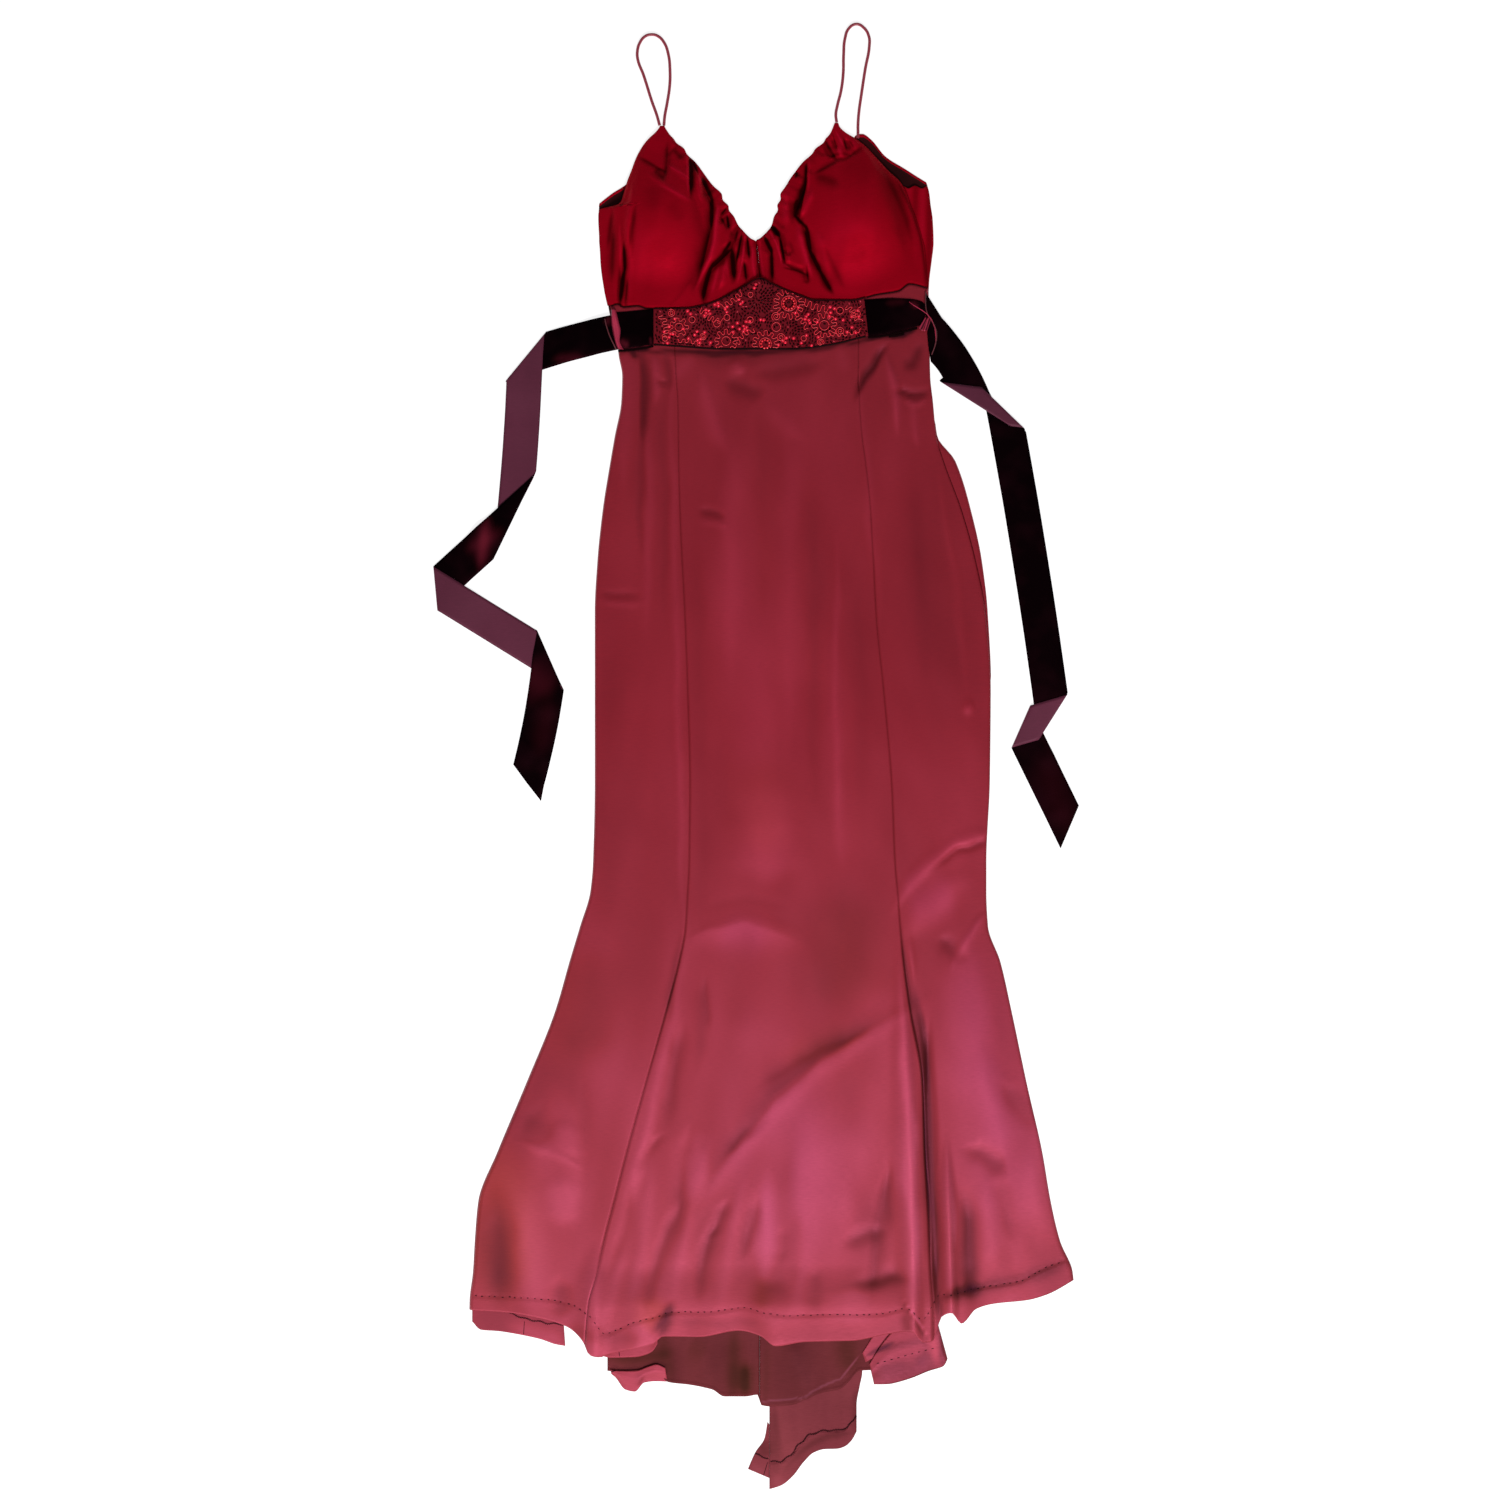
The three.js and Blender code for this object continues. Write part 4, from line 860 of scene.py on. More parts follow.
# Painted light and shade on the hem layers.
HEM_PAINTED_LIGHT = table(
    FOLDS,
    (211.5, -583.5, 214.5, -636.5, -0.7, 2, 5), (140, -624, 194, -613.5, -0.6, 5),
    (128.5, -631, 156, -617, -1.3, 2.4), (-281, -597.5, -223.5, -616, 0.6, 12),
    (-329, -578, -220, -604.5, -0.45, 60, 60, -2), (-216.5, -587, -216.5, -621.5, -0.4, 6),
    (-162.5, -659.5, -110.5, -662, -0.12, 50), (-133.5, -652.5, -132.5, -666.5, -0.3, 6),
    (128.5, -656, 217, -627.5, -0.35, 60), (131, -657, 211.5, -641, -0.75, 16),
    (216, -604.5, 220.5, -644.5, -0.6, 5, 6), (186, -641, 198.5, -629.5, -0.5, 6),
    (190.5, -610, 196.5, -627.5, -0.35, 5), (204.5, -613.5, 208, -641, 0.35, 4),
    (142.5, -645.5, 171, -641, -0.25, 5),
)
hem_painted_light = fold_height(HEM_PAINTED_LIGHT)
HEM_PIECES = [
    ("back_hem_left", BACK_HEM_LEFT, 24, 70, None, (0.112, 0.055), 0.0044),
    ("hem_flute_left", HEM_FLUTE_LEFT, 24, 50, flute_relief(1.5, 1.2), (0.07, 0.04), 0.0026),
    ("hem_turn_left", HEM_TURN_LEFT, 16, 50, flute_relief(2, 0.9), (0.07, 0.03), 0.0012),
    ("hem_flute_right", HEM_FLUTE_RIGHT, 30, 60, flute_relief(1.5, 2.2, 0.2), (0.1, 0.07), 0.0052),
    ("hem_turn_right", HEM_TURN_RIGHT, 20, 20, None, (0.05, 0.03), 0.0012),
]
for name, sections, columns, rows, relief, flat, area in HEM_PIECES:
    points = strip(sections, columns, rows, relief)
    slot = "satin_wrong_side" if "turn" in name else "satin_wine"
    layer = sew(f"satin_{name}", points, (satin_wine,), name, slot, lustre=over(points, hem_painted_light))

# ---------- Lining and train ----------
# The lining of thin dark satin hangs below the front's hem, with a narrow rolled edge. Behind it the
# train shows its wrong side, its turned-up hem and the overlocked edge that was caught down by hand.
lining_cloth = satin(
    "lining_cloth",
    (0.14, 0.0225, 0.026),
    (0.082, 0.0132, 0.0148),
    deep=(0.3, 0.5, 0.3),
    bright=(1.5, 1.8, 1.8),
    Roughness=0.55,
    Specular_IOR_Level=0.14,
    Specular_Tint=(1, 0.25, 0.35),
)
LINING_HEM = table(
    "x y",
    (-170.5, -649.5), (-150, -651.5), (-137, -650.5), (-116.5, -649.5), (-109.5, -655),
    (-100.5, -662.5), (-76, -665.5), (-50, -671), (-36, -679), (-12, -679), (2, -677), (6.5, -688.5),
    (16, -690), (40, -688.5), (54.5, -683.5), (75.5, -674.5), (96.5, -670), (106.5, -662),
    (119.5, -649), (139, -648),
)
lining_hem = curve(LINING_HEM, "x", "y")
LINING_HEAD = -576.5
LINING_SPLIT = 4.5  # where the back's lining ends and the train's begins
LAYER = 1.8  # height that the train lifts its lining
LINING_FOLDS = table(
    FOLDS,
    (-64.5, -610, -58, -667.5, 1.2, 9), (-24.5, -610, -27, -671, -0.8, 6),
    (-9.5, -610, -6, -667.5, 1.2, 5), (39, -616, 57, -667.5, 1.3, 9),
    (108, -613.5, 105.5, -650.5, -1.2, 9),
)
lining_folds = fold_height(LINING_FOLDS)
# Painted light and shade on the lining, with a bright painted line along its rolled edge.
LINING_PAINTED_LIGHT = table(
    FOLDS,
    (6.5, -685, 55, -680, 2, 1), (55, -680, 97.5, -658.5, 2, 1, 1, -2), (97.5, -658.5, 117, -634, 2, 1),
    (-166, -634, -101.5, -629.5, -0.6, 8, 8, 2), (-76, -621.5, -59, -629.5, -0.25, 14),
    (-24.5, -604.5, -27, -675.5, -0.6, 8), (-13, -639, -13, -675.5, -0.5, 13),
    (-12, -645.5, -12, -675.5, -0.6, 7), (-108.5, -604.5, -97, -656, -0.4, 7, 9),
    (102, -610, 108, -648, -0.55, 13), (44.5, -627.5, 64, -667.5, 0.12, 9),
    (13.5, -621.5, 11, -679, -0.25, 5),
)
lining_painted_light = fold_height(LINING_PAINTED_LIGHT)


def rolled_edge(edge, wide, high):
    """The low ridge of a narrow hem, rolled and stitched."""
    return lambda x, y: high * swell(y - edge(x) - wide, wide)


lining_roll = rolled_edge(lining_hem, 1.3, 0.7)
LININGS = [
    ("back", -170.5, LINING_SPLIT, lambda y: LAYER * (1 - ease((-597.5 - y) / 26)), (0.18, 0.11)),
    ("train", LINING_SPLIT, 139, lambda y: LAYER + 0 * y, (0.14, 0.115)),
]
for side, left, right, base, flat in LININGS:
    points = laid(
        between(level(left), level(right), level(LINING_HEAD), lining_hem),
        lambda x, y, u, v: base(y) + 1.1 + np.maximum(lining_folds(x, y), -0.25) + lining_roll(x, y),
        70,
        50,
    )
    shade = over(points, lining_painted_light)
    # The same painted shade also tints the lining's hue.
    looks = dict(lustre=shade, rose=shade)
    lining = sew(f"lining_{side}_cloth", points, (lining_cloth,), f"lining_{side}", "lining", **looks)

TRAIN = table(
    "x overlock hem",
    (16, -754, -785.5), (29.5, -753, -781), (43.5, -743.5, -769.5), (54.5, -729.5, -755),
    (66.5, -720.5, -743.5), (79, -718, -739.5), (93, -718, -739), (102, -716.5, -736.5),
    (110.5, -706.5, -729), (117, -699, -717),
)
train_overlock = curve(TRAIN, "x", "overlock")
train_hem = curve(TRAIN, "x", "hem")
TRAIN_SIDE = table(
    "y x", (-590.5, 121.5), (-650.5, 122.5), (-667.5, 119.5), (-688.5, 116), (-719.5, 116), (-788.5, 116)
)
train_right = curve(TRAIN_SIDE, "y", "x")
TRAIN_FOLDS = table(
    FOLDS,
    (18, -690, 30, -752, 1.8, 5, 12, 2), (36, -700, 44, -745, 1.2, 10),
    (104, -690, 96, -735, 1.5, 7, 9),
)
train_folds = fold_height(TRAIN_FOLDS)
TRAIN_LEFT = 15.7
HEM_AT = 0.7  # share of the rows above the turned-up hem


def train_plan(u, v):
    body = between(level(TRAIN_LEFT), train_right, lambda x: back_hem(x) - SEAM, train_overlock)
    hem = between(level(TRAIN_LEFT), train_right, train_overlock, train_hem)
    above, below = body(u, np.minimum(v / HEM_AT, 1)), hem(u, np.clip((v - HEM_AT) / (1 - HEM_AT), 0, 1))
    return tuple(np.where(v < HEM_AT, *pair) for pair in zip(above, below))


def train_face(x, y, u, v):
    rough_edge = 0.5 * np.sin(x / 1.9 + np.sin(x / 5)) * swell(v - HEM_AT, 0.02)
    return CLOTH + np.maximum(0.05, 0.9 * ease((v - HEM_AT) / 0.04) + train_folds(x, y) + rough_edge)


# Painted light and shade on the train and its flap.
TRAIN_PAINTED_LIGHT = table(
    FOLDS,
    (21.5, -696.5, 25, -759.5, -0.35, 5, 14), (50.5, -690.5, 108, -685, -0.1, 22),
    (116, -673.5, 114.5, -719.5, -0.45, 6, 5), (39, -756, 108, -720.5, -0.45, 4, 5, -9),
    (50.5, -777, 64, -751.5, -0.35, 8), (21.5, -771, 33, -788.5, 0.35, 8),
    (6.5, -731, 11, -748, -0.5, 9), (-5, -759.5, 9, -767.5, 0.25, 6),
)
train_painted_light = fold_height(TRAIN_PAINTED_LIGHT)
points = laid(train_plan, train_face, 60, 90)
# The train is painted a little darker all over.
shade = over(points, train_painted_light) - 0.12
train = sew("satin_train", points, (satin_back,), "train", "satin_wrong_side", lustre=shade)
TRAIN_FLAP = table(
    STRIP,
    (13.5, -708.5, TRAIN_LEFT, -711.5, 0, 0),
    (10, -727.5, TRAIN_LEFT, -729.5, 0, 0),
    (-0.5, -743.5, TRAIN_LEFT, -749, 0, 0),
    (-9, -762.5, TRAIN_LEFT, -773, 0, 0),
)
points = strip(TRAIN_FLAP, 14, 50)
shade = over(points, train_painted_light)
flap = sew("satin_train_flap", points, (satin_back,), "train_flap", "satin_wrong_side", lustre=shade)

# ---------- Bodice back and side ----------
# The bodice back is lined, so its dark lining shows inside the armholes and over the neck, inside a
# rolled edge of the crimson satin. A crimson side panel joins it to the right cup.
satin_red = satin(
    "satin_red",
    (0.41, 0.0016, 0.0125),
    (0.345, 0.0012, 0.009),
    deep=(0.07, 0.025, 0.025),
    bright=(1.6, 3.2, 2.6),
    Metallic=0.3,
    Roughness=0.52,
    Specular_IOR_Level=0.1,
    Specular_Tint=(1, 0.02, 0.08),
)
dark_lining = satin(
    "bodice_lining",
    (0.052, 0.0035, 0.005),
    (0.026, 0.0016, 0.0022),
    Roughness=0.6,
    Specular_IOR_Level=0.08,
)
CUPS = table(
    "y outer_left inner_left inner_right outer_right",
    (568.5, -169, 6, 6, 198.5),
    (594, -174.5, 5.5, 5.5, 197.5),
    (621.5, -178, 4, 4, 196),
    (642.5, -179.5, 1.5, 1.5, 194),
    (649, -180, 0, 0, 192.5),
    (652.5, -180, -6.5, 5.5, 191.5),
    (663, -180.5, -16, 15, 188.5),
    (677, -181, -26, 22, 183.5),
    (685, -180, -30, 24.5, 180),
    (687, -176, -31, 25, 179),
    (689, -161.5, -32, 25.5, 178.5),
    (693, -155, -35, 26.5, 177),
    (704.5, -151, -41, 30, 173),
    (716, -148, -51, 36, 166.5),
    (729.5, -143, -62, 46.5, 152),
    (744.5, -137.5, -74.5, 59.5, 138.5),
    (757.5, -130.5, -85.5, 72, 126.5),
    (766.5, -123.5, -95, 81, 115.5),
    (774.5, -115, -101, 86.5, 102.5),
    (780.5, -110.5, -104.5, 89, 96.5),
    (786, -109, -105.5, 91, 94.5),
)
cup_edges = {name: curve(CUPS, "y", name) for name in CUPS[0]}
BACK_SIDES = table(
    "y left right",
    (532, -159, 199),
    (568.5, -168.5, 199),
    (580, -170.5, 198.5),
    (603, -176, 199.5),
    (624, -178.5, 202),
    (648, -179.5, 204.5),
    (673.5, -181, 203.5),
    (691.5, -180, 201),
    (704.5, -179.5, 199.5),
    (717, -179.5, 196),
)
back_side_left, back_side_right = (curve(BACK_SIDES, "y", name) for name in ("left", "right"))
BACK_NECK = table(
    "x y",
    (-181, 691.5), (-165, 704), (-148.5, 715), (-133.5, 737.5), (-120, 760.5), (-109.5, 773.5),
    (-101.5, 757.5), (-87.5, 732), (-70.5, 704.5), (-51, 670), (-24.5, 637.5), (1, 624), (33, 637.5),
    (56, 665.5), (75.5, 700), (94, 734.5), (108, 760.5), (117, 772), (122.5, 772.5), (132.5, 766),
    (149, 746.5), (171, 732.5), (196.5, 716.5), (205.5, 711.5),
)
back_neck = curve(BACK_NECK, "x", "y")
ROLLED = 3.2  # width of the rolled edge round the bodice back
BACK_ROWS, BACK_COLUMNS = 80, 120
TO_NECK = 1.5  # how much closer together the rows are near the neck


def from_neck(y, v):
    """How far below the neck edge a place of the back's row v lies."""
    share = (1 - v) ** TO_NECK
    return share / (1 - share + 1e-9) * (y - BACK_WAIST)


def bodice_back_face(x, y, u, v):
    return CLOTH + 0.9 * swell(from_neck(y, v) - ROLLED / 2, 1.6)


bodice_plan = between(back_side_left, back_side_right, level(BACK_WAIST), back_neck)
bodice_back = sew(
    "bodice_back_cloth",
    laid(lambda u, v: bodice_plan(u, 1 - (1 - v) ** TO_NECK), bodice_back_face, BACK_COLUMNS, BACK_ROWS),
    (dark_lining, satin_red),
    "bodice_back",
    "lining",
)
for number, face in enumerate(bodice_back.data.polygons):
    row = (number // BACK_COLUMNS + 0.5) / BACK_ROWS
    lining_shows = row < 1 and from_neck(face.center.y / MM - SHIFT[1], row) > ROLLED
    face.material_index = 0 if lining_shows else 1


def armhole(x):
    return 711 + 1.5 * np.cos((x - 183) / 2.4)


def side_face(x, y, u, v):
    return mix(FRONT - 0.8, 1.2, u**3) + 1.6 * np.sin(np.pi * u) ** 0.7


points = laid(between(cup_edges["outer_right"], back_side_right, level(595), armhole), side_face, 24, 90)
# Painted light and shade in narrow bands down the side panel.
shade = 0.35 * np.sin((points[..., 0] - 176 - points[..., 1] / 60) / 2.6)
bodice_side = sew("bodice_side_satin", points, (satin_red,), "bodice_side_right", "satin_red", lustre=shade)

# ---------- Cups ----------
# Each cup is a crimson satin triangle laid over a sewn-in pad: its neckline is gathered on an
# elastic, its lower edge is gathered into the bust seam, and both cups meet in a centre seam.
BUST = table(
    "x y",
    (-181, 575), (-168, 574.5), (-159, 576.7), (-152, 573.4), (-136, 574.4), (-124, 571.2),
    (-110.5, 571), (-81, 571), (-63.5, 573.5), (-46, 579), (-28, 588), (-10.5, 598), (5.5, 605.5),
    (17.5, 599.5), (35.5, 591.5), (52.5, 585), (68.5, 580), (108, 580), (139, 587), (164, 591.5),
    (177, 599.5), (201, 594),
)
bust_line = curve(BUST, "x", "y")
PADS = table("x y wide high lift", (-110, 676, 70, 84, 18), (118, 682, 72, 88, 18))
APEX = {"left": 781, "right": 784.5}
CUP_EDGE = 4  # how far a cup stands up at its edges
CUP_FOLDS = table(
    FOLDS,
    # left cup: the folds that fall from the neckline to the bust seam
    (-75.5, 746, -73.5, 706.5, -3.9, 3.9, 2.2), (-70.5, 740, -67.5, 726, -2.4, 1.9),
    (-68, 723, -61.5, 695, 2.2, 2.6), (-60, 723, -49, 688.5, -4.6, 3.9, 3.4, 2),
    (-49, 690.5, -61.5, 624, -4.6, 3.9, 7.2, -3), (-60, 628.5, -71.5, 594, -2.7, 2.9, 5.2),
    (-43, 681.5, -54.5, 624, 3.5, 4, 4, -2), (-36, 685, -39.5, 670, -3.9, 3.1),
    (-29, 677, -33, 664, -3.7, 3.1), (-20.5, 665.5, -29, 643.5, -4.2, 3.4),
    (-29, 643.5, -51, 616, -6, 4.7), (-51, 616, -60, 581.5, -6, 4.4, 4.2, 2),
    (-28, 641, -25.5, 606.5, -6, 4.9, 4.7, -1), (-35, 624, -40.5, 596.5, 2.8, 3.3),
    (-14.5, 654, -21.5, 631, -4.2, 3.1), (-19.5, 635.5, -20.5, 605.5, 2.8, 2.4),
    (-11.5, 651.5, -7, 632, -4.2, 3.2), (-13.5, 624, -12, 605.5, -3.9, 2.9),
    (-4.5, 647, -1.5, 608, 2.2, 2.4),
    # left cup: the side, the dome's edges and the soft creases across its top
    (-165, 679, -167, 610, -1.8, 4.4, 4.4, 1), (-151, 642.5, -155.5, 578, -3.7, 3.4, 3.4, -1),
    (-154.5, 612.5, -156, 578, -2, 2.4), (-160, 649, -161.5, 582.5, 0.8, 3.3),
    (-148.5, 604.5, -148.5, 576.5, -2.2, 1.9), (-146, 660.5, -145, 582.5, 1.1, 3.3),
    (-138.5, 686, -143, 637.5, -2, 3.3, 2.4), (-142, 706.5, -147.5, 649, 1.8, 3.3),
    (-131.5, 743, -104, 727.5, -1.4, 3.5, 2.9), (-120, 721.5, -78.5, 694, 1.1, 3.3, 2.4),
    (-100, 735.5, -79, 717.5, 1.2, 2.6, 2.2), (-113, 732, -104, 717, -1.8, 5.5),
    (-101.5, 762, -105, 720.5, -2.4, 3.7, 3.7, -2), (-93.5, 758.5, -84.5, 743.5, -1.4, 4.4),
    (-72, 697.5, -86, 590.5, -1.7, 4.4, 7.7, -17),
    # right cup: the folds from the neckline and the centre seam
    (57.5, 734.5, 57, 713.5, -3.7, 2, 3.4), (57, 716, 45.5, 680, -6, 2.5, 6),
    (45.5, 681.5, 53.5, 670, -3.7, 3.6), (41, 696.5, 42, 672, -2.2, 3.3),
    (35.5, 709, 34, 670, 2.8, 4.4), (63, 706.5, 53.5, 677, 2.5, 3.7),
    (55.5, 665.5, 65, 628.5, -6, 4.2, 4.2, -1), (65, 628.5, 86, 594, -5.4, 4.2),
    (47, 658.5, 62, 614.5, 2.8, 4.4), (72, 654, 83.5, 617, 2.2, 4.4),
    (19, 664, 34, 639, -5.1, 3.9, 3.6, -2), (33, 641, 39.5, 633, -4.2, 3.1),
    (29.5, 644.5, 32, 624, -3.7, 2.6), (10, 652.5, 17, 635.5, -5.1, 3.6),
    (17, 635.5, 18.5, 604.5, -4.2, 3.1), (22.5, 658.5, 28.5, 628.5, 3.2, 1.8, 1.8, -2),
    (34, 624, 57, 611, -3, 4, 3, -1), (57, 612.5, 60, 602, -2.9, 2.9),
    (36.5, 627.5, 52.5, 619.5, 0.6, 2.4), (45.5, 728.5, 48, 723, -3, 2.2),
    # right cup: the crumpled top, the dome's edges
    (79, 759.5, 86, 746, -3.2, 2.9), (86, 746, 110, 748, -2.2, 3.7, 2.6, 5.5),
    (109, 748, 122.5, 755.5, -1.6, 3.7, 2.9), (94, 741, 68.5, 728, -2, 3.3, 4.4),
    (88, 767, 92, 755, -3, 2.2), (103, 764.5, 105.5, 755, -2.6, 2.4), (96.5, 769, 97.5, 748, 2.2, 2.9),
    (111, 764, 114.5, 755, 1.5, 3.3), (71, 724, 94, 711.5, -1.6, 7.7),
    (142.5, 728.5, 170, 649, -2.6, 7.7, 7.7, -4), (171, 700, 183.5, 637.5, 1.8, 4.4, 4.4, -3),
    (73.5, 641, 98.5, 601, -1.3, 6.6),
)
cup_wander = ripple(8, 30, 9, 0.5)
cup_crease = fold_height(CUP_FOLDS)


def cup_folds(x, y):
    return cup_crease(x + cup_wander(x, y), y + cup_wander(y, x))


# Painted light and shade on the domes and their folds, and how much of it.
CUP_PAINTED_LIGHT = table(
    FOLDS,
    (-117.5, 709, -116.5, 681.5, -0.2, 10), (-97, 688.5, -85.5, 670, -0.2, 9),
    (-122, 655, -116.5, 609, 0.12, 24), (-154.5, 666.5, -156.5, 591.5, -0.25, 7),
    (-76, 775.5, -116.5, 764, -0.15, 12), (108, 741, 131, 718, -0.15, 20),
    (151.5, 718, 181.5, 643.5, -0.45, 7, 4, -3), (102, 666.5, 108, 632, 0.1, 24),
    (-116.5, 647, -101.5, 628.5, -0.2, 13), (-133.5, 666.5, -133.5, 597.5, 0.12, 14),
    (114.5, 654, 117, 624, -0.25, 15), (91.5, 678, 140, 609, 0.1, 30),
    # the crisp shade beside each fold and the light on its ridge
    (-76, 743.5, -75, 700, -0.9, 5, 0.8), (-79, 746, -77.5, 704.5, 0.68, 1, 1.4),
    (-72, 741, -67, 727.5, -0.6, 1.5), (-64.5, 729.5, -63.5, 714.5, 0.77, 0.9),
    (-62.5, 720.5, -51, 696.5, -1, 4, 1.1), (-50.5, 696.5, -50.5, 665.5, -0.9, 2.4, 2.6),
    (-51, 665.5, -64.5, 608, -0.55, 1.4, 5), (-43.5, 688.5, -46, 665.5, 0.68, 2),
    (-46, 665.5, -67, 598.5, 0.68, 2.4, 2, -3), (-40, 679, -33.5, 687.5, -0.6, 1, 1.6),
    (-39.5, 675.5, -35, 665.5, -0.6, 1.3), (-33, 677.5, -31, 664, -1, 1.5),
    (-39, 675.5, -29, 682.5, 0.59, 0.9), (-24, 674.5, -27.5, 660.5, 0.51, 1.5),
    (-21, 660.5, -23.5, 647, -0.6, 1.4), (-16, 657, -22, 624, -0.9, 1.2, 1.4),
    (-12.5, 657, -18.5, 609, 1.02, 1.2, 1.2, -1), (-9.5, 652.5, -7.5, 629.5, -1.1, 1.2, 1.4),
    (-4.5, 647, -2, 610, 0.42, 2.2, 1.8), (-28.5, 648, -37, 635.5, -0.8, 1.6),
    (-30, 637.5, -51, 618, -1, 1.6, 3.4), (-51, 618, -60, 582.5, -1.1, 1.7, 3, 1),
    (-27, 637.5, -24.5, 606.5, -1.1, 2.2, 2.6), (-34.5, 628.5, -31.5, 608, 0.51, 1.6),
    (-43, 617, -50, 590.5, 0.59, 2, 1.6), (-13, 624, -11, 604.5, -0.9, 1.3),
    (1, 647, 5.5, 604.5, -0.9, 0.9, 0.9, 1), (4.5, 645.5, 9.5, 606.5, 0.51, 1.2, 1.2, 1),
    (-165, 680, -170, 643.5, -0.45, 2.6), (-163, 658.5, -165, 608, -0.45, 3.2),
    (-156, 663, -154.5, 612.5, 0.59, 1.4, 1.8), (-152, 642.5, -150.5, 612.5, -0.8, 3.4, 0.9),
    (-151.5, 612.5, -155.5, 579, -0.9, 2.6, 2.2), (-147, 603, -149.5, 578, -0.5, 1.2),
    (-139, 679, -144.5, 642.5, -0.4, 2.6, 3.2), (-133.5, 744.5, -106, 727.5, -0.5, 2, 2.4),
    (-115.5, 728.5, -106, 718, -0.45, 3, 4.4), (-101.5, 757.5, -103, 720.5, -0.4, 1.2, 3.4),
    (-94.5, 752.5, -84.5, 742.5, -0.45, 3), (-99, 733, -76, 719.5, 0.59, 1, 1.3),
    (-110.5, 710, -76, 693.5, 0.51, 1.2, 1.6), (58.5, 737.5, 57.5, 713.5, -0.8, 0.8, 2.2),
    (57.5, 713.5, 51, 679, -1.1, 0.8, 5.4), (61.5, 741, 60, 706.5, 0.51, 1.5, 1.2),
    (47.5, 728, 45.5, 720.5, -0.8, 1.6, 2), (47, 695, 46, 677, -0.6, 3, 4),
    (45.5, 677, 58.5, 664, -0.9, 1.5, 3), (59, 664, 63.5, 635.5, -1, 1.4, 3.6),
    (63.5, 635.5, 74.5, 613.5, -1, 2.2, 2.4), (74.5, 613.5, 88, 589.5, -0.8, 2.2, 3),
    (49, 663, 63, 612.5, 0.59, 2.6), (78, 642.5, 99.5, 598.5, -0.3, 2.6, 3.4),
    (19, 665.5, 26.5, 655, -1.8, 2.4, 2.6), (28, 652.5, 33.5, 625, -1, 1, 1.9),
    (16.5, 659.5, 23.5, 645.5, 1.02, 0.9), (23.5, 645.5, 30.5, 622.5, 1.02, 0.9),
    (30.5, 622.5, 39, 617, 0.85, 0.9), (35.5, 642.5, 39, 624, 0.51, 1.2),
    (39, 647, 43.5, 634, -0.35, 2.2), (10, 654, 18.5, 636.5, -1.2, 2),
    (18.5, 636.5, 19.5, 605.5, -1, 1.5, 2.4), (33, 617, 57, 610, -0.7, 2, 1.2, -1),
    (58.5, 622.5, 60.5, 603, -0.7, 1.1, 1.6), (80, 764, 91.5, 743.5, -0.7, 1.2, 2.6),
    (88, 772, 94, 752.5, -0.55, 0.9), (92.5, 773.5, 100.5, 757.5, 0.77, 1),
    (100.5, 766.5, 104.5, 752.5, -0.75, 1.4), (108, 763, 112, 756, -0.5, 1.1),
    (94, 754, 99.5, 744.5, 0.68, 2.2), (85, 743.5, 110, 744.5, -0.5, 2.2, 2.2, -4),
    (110, 747, 121.5, 755, -0.35, 2.2), (94, 739, 71, 727.5, -0.45, 2),
    (67.5, 723, 91.5, 713.5, -0.3, 6), (164, 714.5, 189.5, 654, -0.6, 0.9, 3, -2),
    (189.5, 654, 196.5, 598.5, -0.6, 0.9, 2.6, -1),
)
cup_painted_light = fold_height(CUP_PAINTED_LIGHT)
CUP_PAINTED_SHADE, CUP_RELIEF = 0.19, 0.7
cup_ripple = ripple(8, 60, 16, 0.3)
GATHERS = 15  # down each neckline
V_POINT = 652  # the cups meet below this


# The painted light and shade of the cups: deeper in their folds' hollows and lighter on their ridges, the
# listed patches, and a painted dark line of shade along the bust seam.
def cup_lustre(x, y, fine):
    seamed = swell(y - bust_line(x) - 0.5, 1.1)
    soft = 0.55 * np.tanh(1.5 * CUP_PAINTED_SHADE * (cup_folds(x, y) + 1.2 * fine(x, y)))
    return soft + cup_painted_light(x, y) - 0.8 * seamed


def gathers(edge, apex, way):
    """Short uneven folds that run from the gathered neckline into the cup."""
    y = np.linspace(650, apex - 22, GATHERS) + draws.uniform(-2.4, 2.4, GATHERS)
    x = edge(y)
    long, turn = draws.uniform(9, 20, GATHERS), draws.uniform(0.5, 1.0, GATHERS)
    ends = x + way * long * np.cos(turn), y - long * np.sin(turn)
    bow = draws.uniform(-1, 1, GATHERS)
    left, right = draws.uniform(2, 3.4, GATHERS), draws.uniform(2, 3.4, GATHERS)
    height = draws.uniform(-1.3, -0.3, GATHERS)
    return fold_height(table(FOLDS, *zip(x, y, *ends, height, left, right, bow)))


def pad_lift(x, y):
    """The domes that the sewn-in pads raise."""
    total = 0
    for pad in PADS:
        away = ((x - pad["x"]) / pad["wide"]) ** 2 + ((y - pad["y"]) / pad["high"]) ** 2
        total = total + pad["lift"] * (1 - np.minimum(1, away)) ** 2
    return total


def cup_face(side, fine):
    def face(x, y, u, v):
        inwards = u if side == "left" else 1 - u
        outer = ease(inwards / 0.15)
        inner = 1 - 0.7 * ease((inwards - 0.85) / 0.15)
        edge = CUP_EDGE * outer * inner * (1 - 0.6 * v**6)
        folds = CUP_RELIEF * cup_folds(x, y) + fine(x, y) + cup_ripple(x, y)
        tucked = 0.9 * swell(y - bust_line(x), 1.6)
        centre = np.where(y < V_POINT, valley(x - cup_edges["inner_left"](y), 1.4, 1.4), 0)
        turned = 1.5 * (1 - ease(inwards / 0.03)) + 1 - ease((1 - inwards) / 0.02)
        turned = np.minimum(turned, 2) * ease((y - 560) / 20)
        return FRONT + soft_floor(edge + pad_lift(x, y) + folds) - tucked + centre - turned

    return face


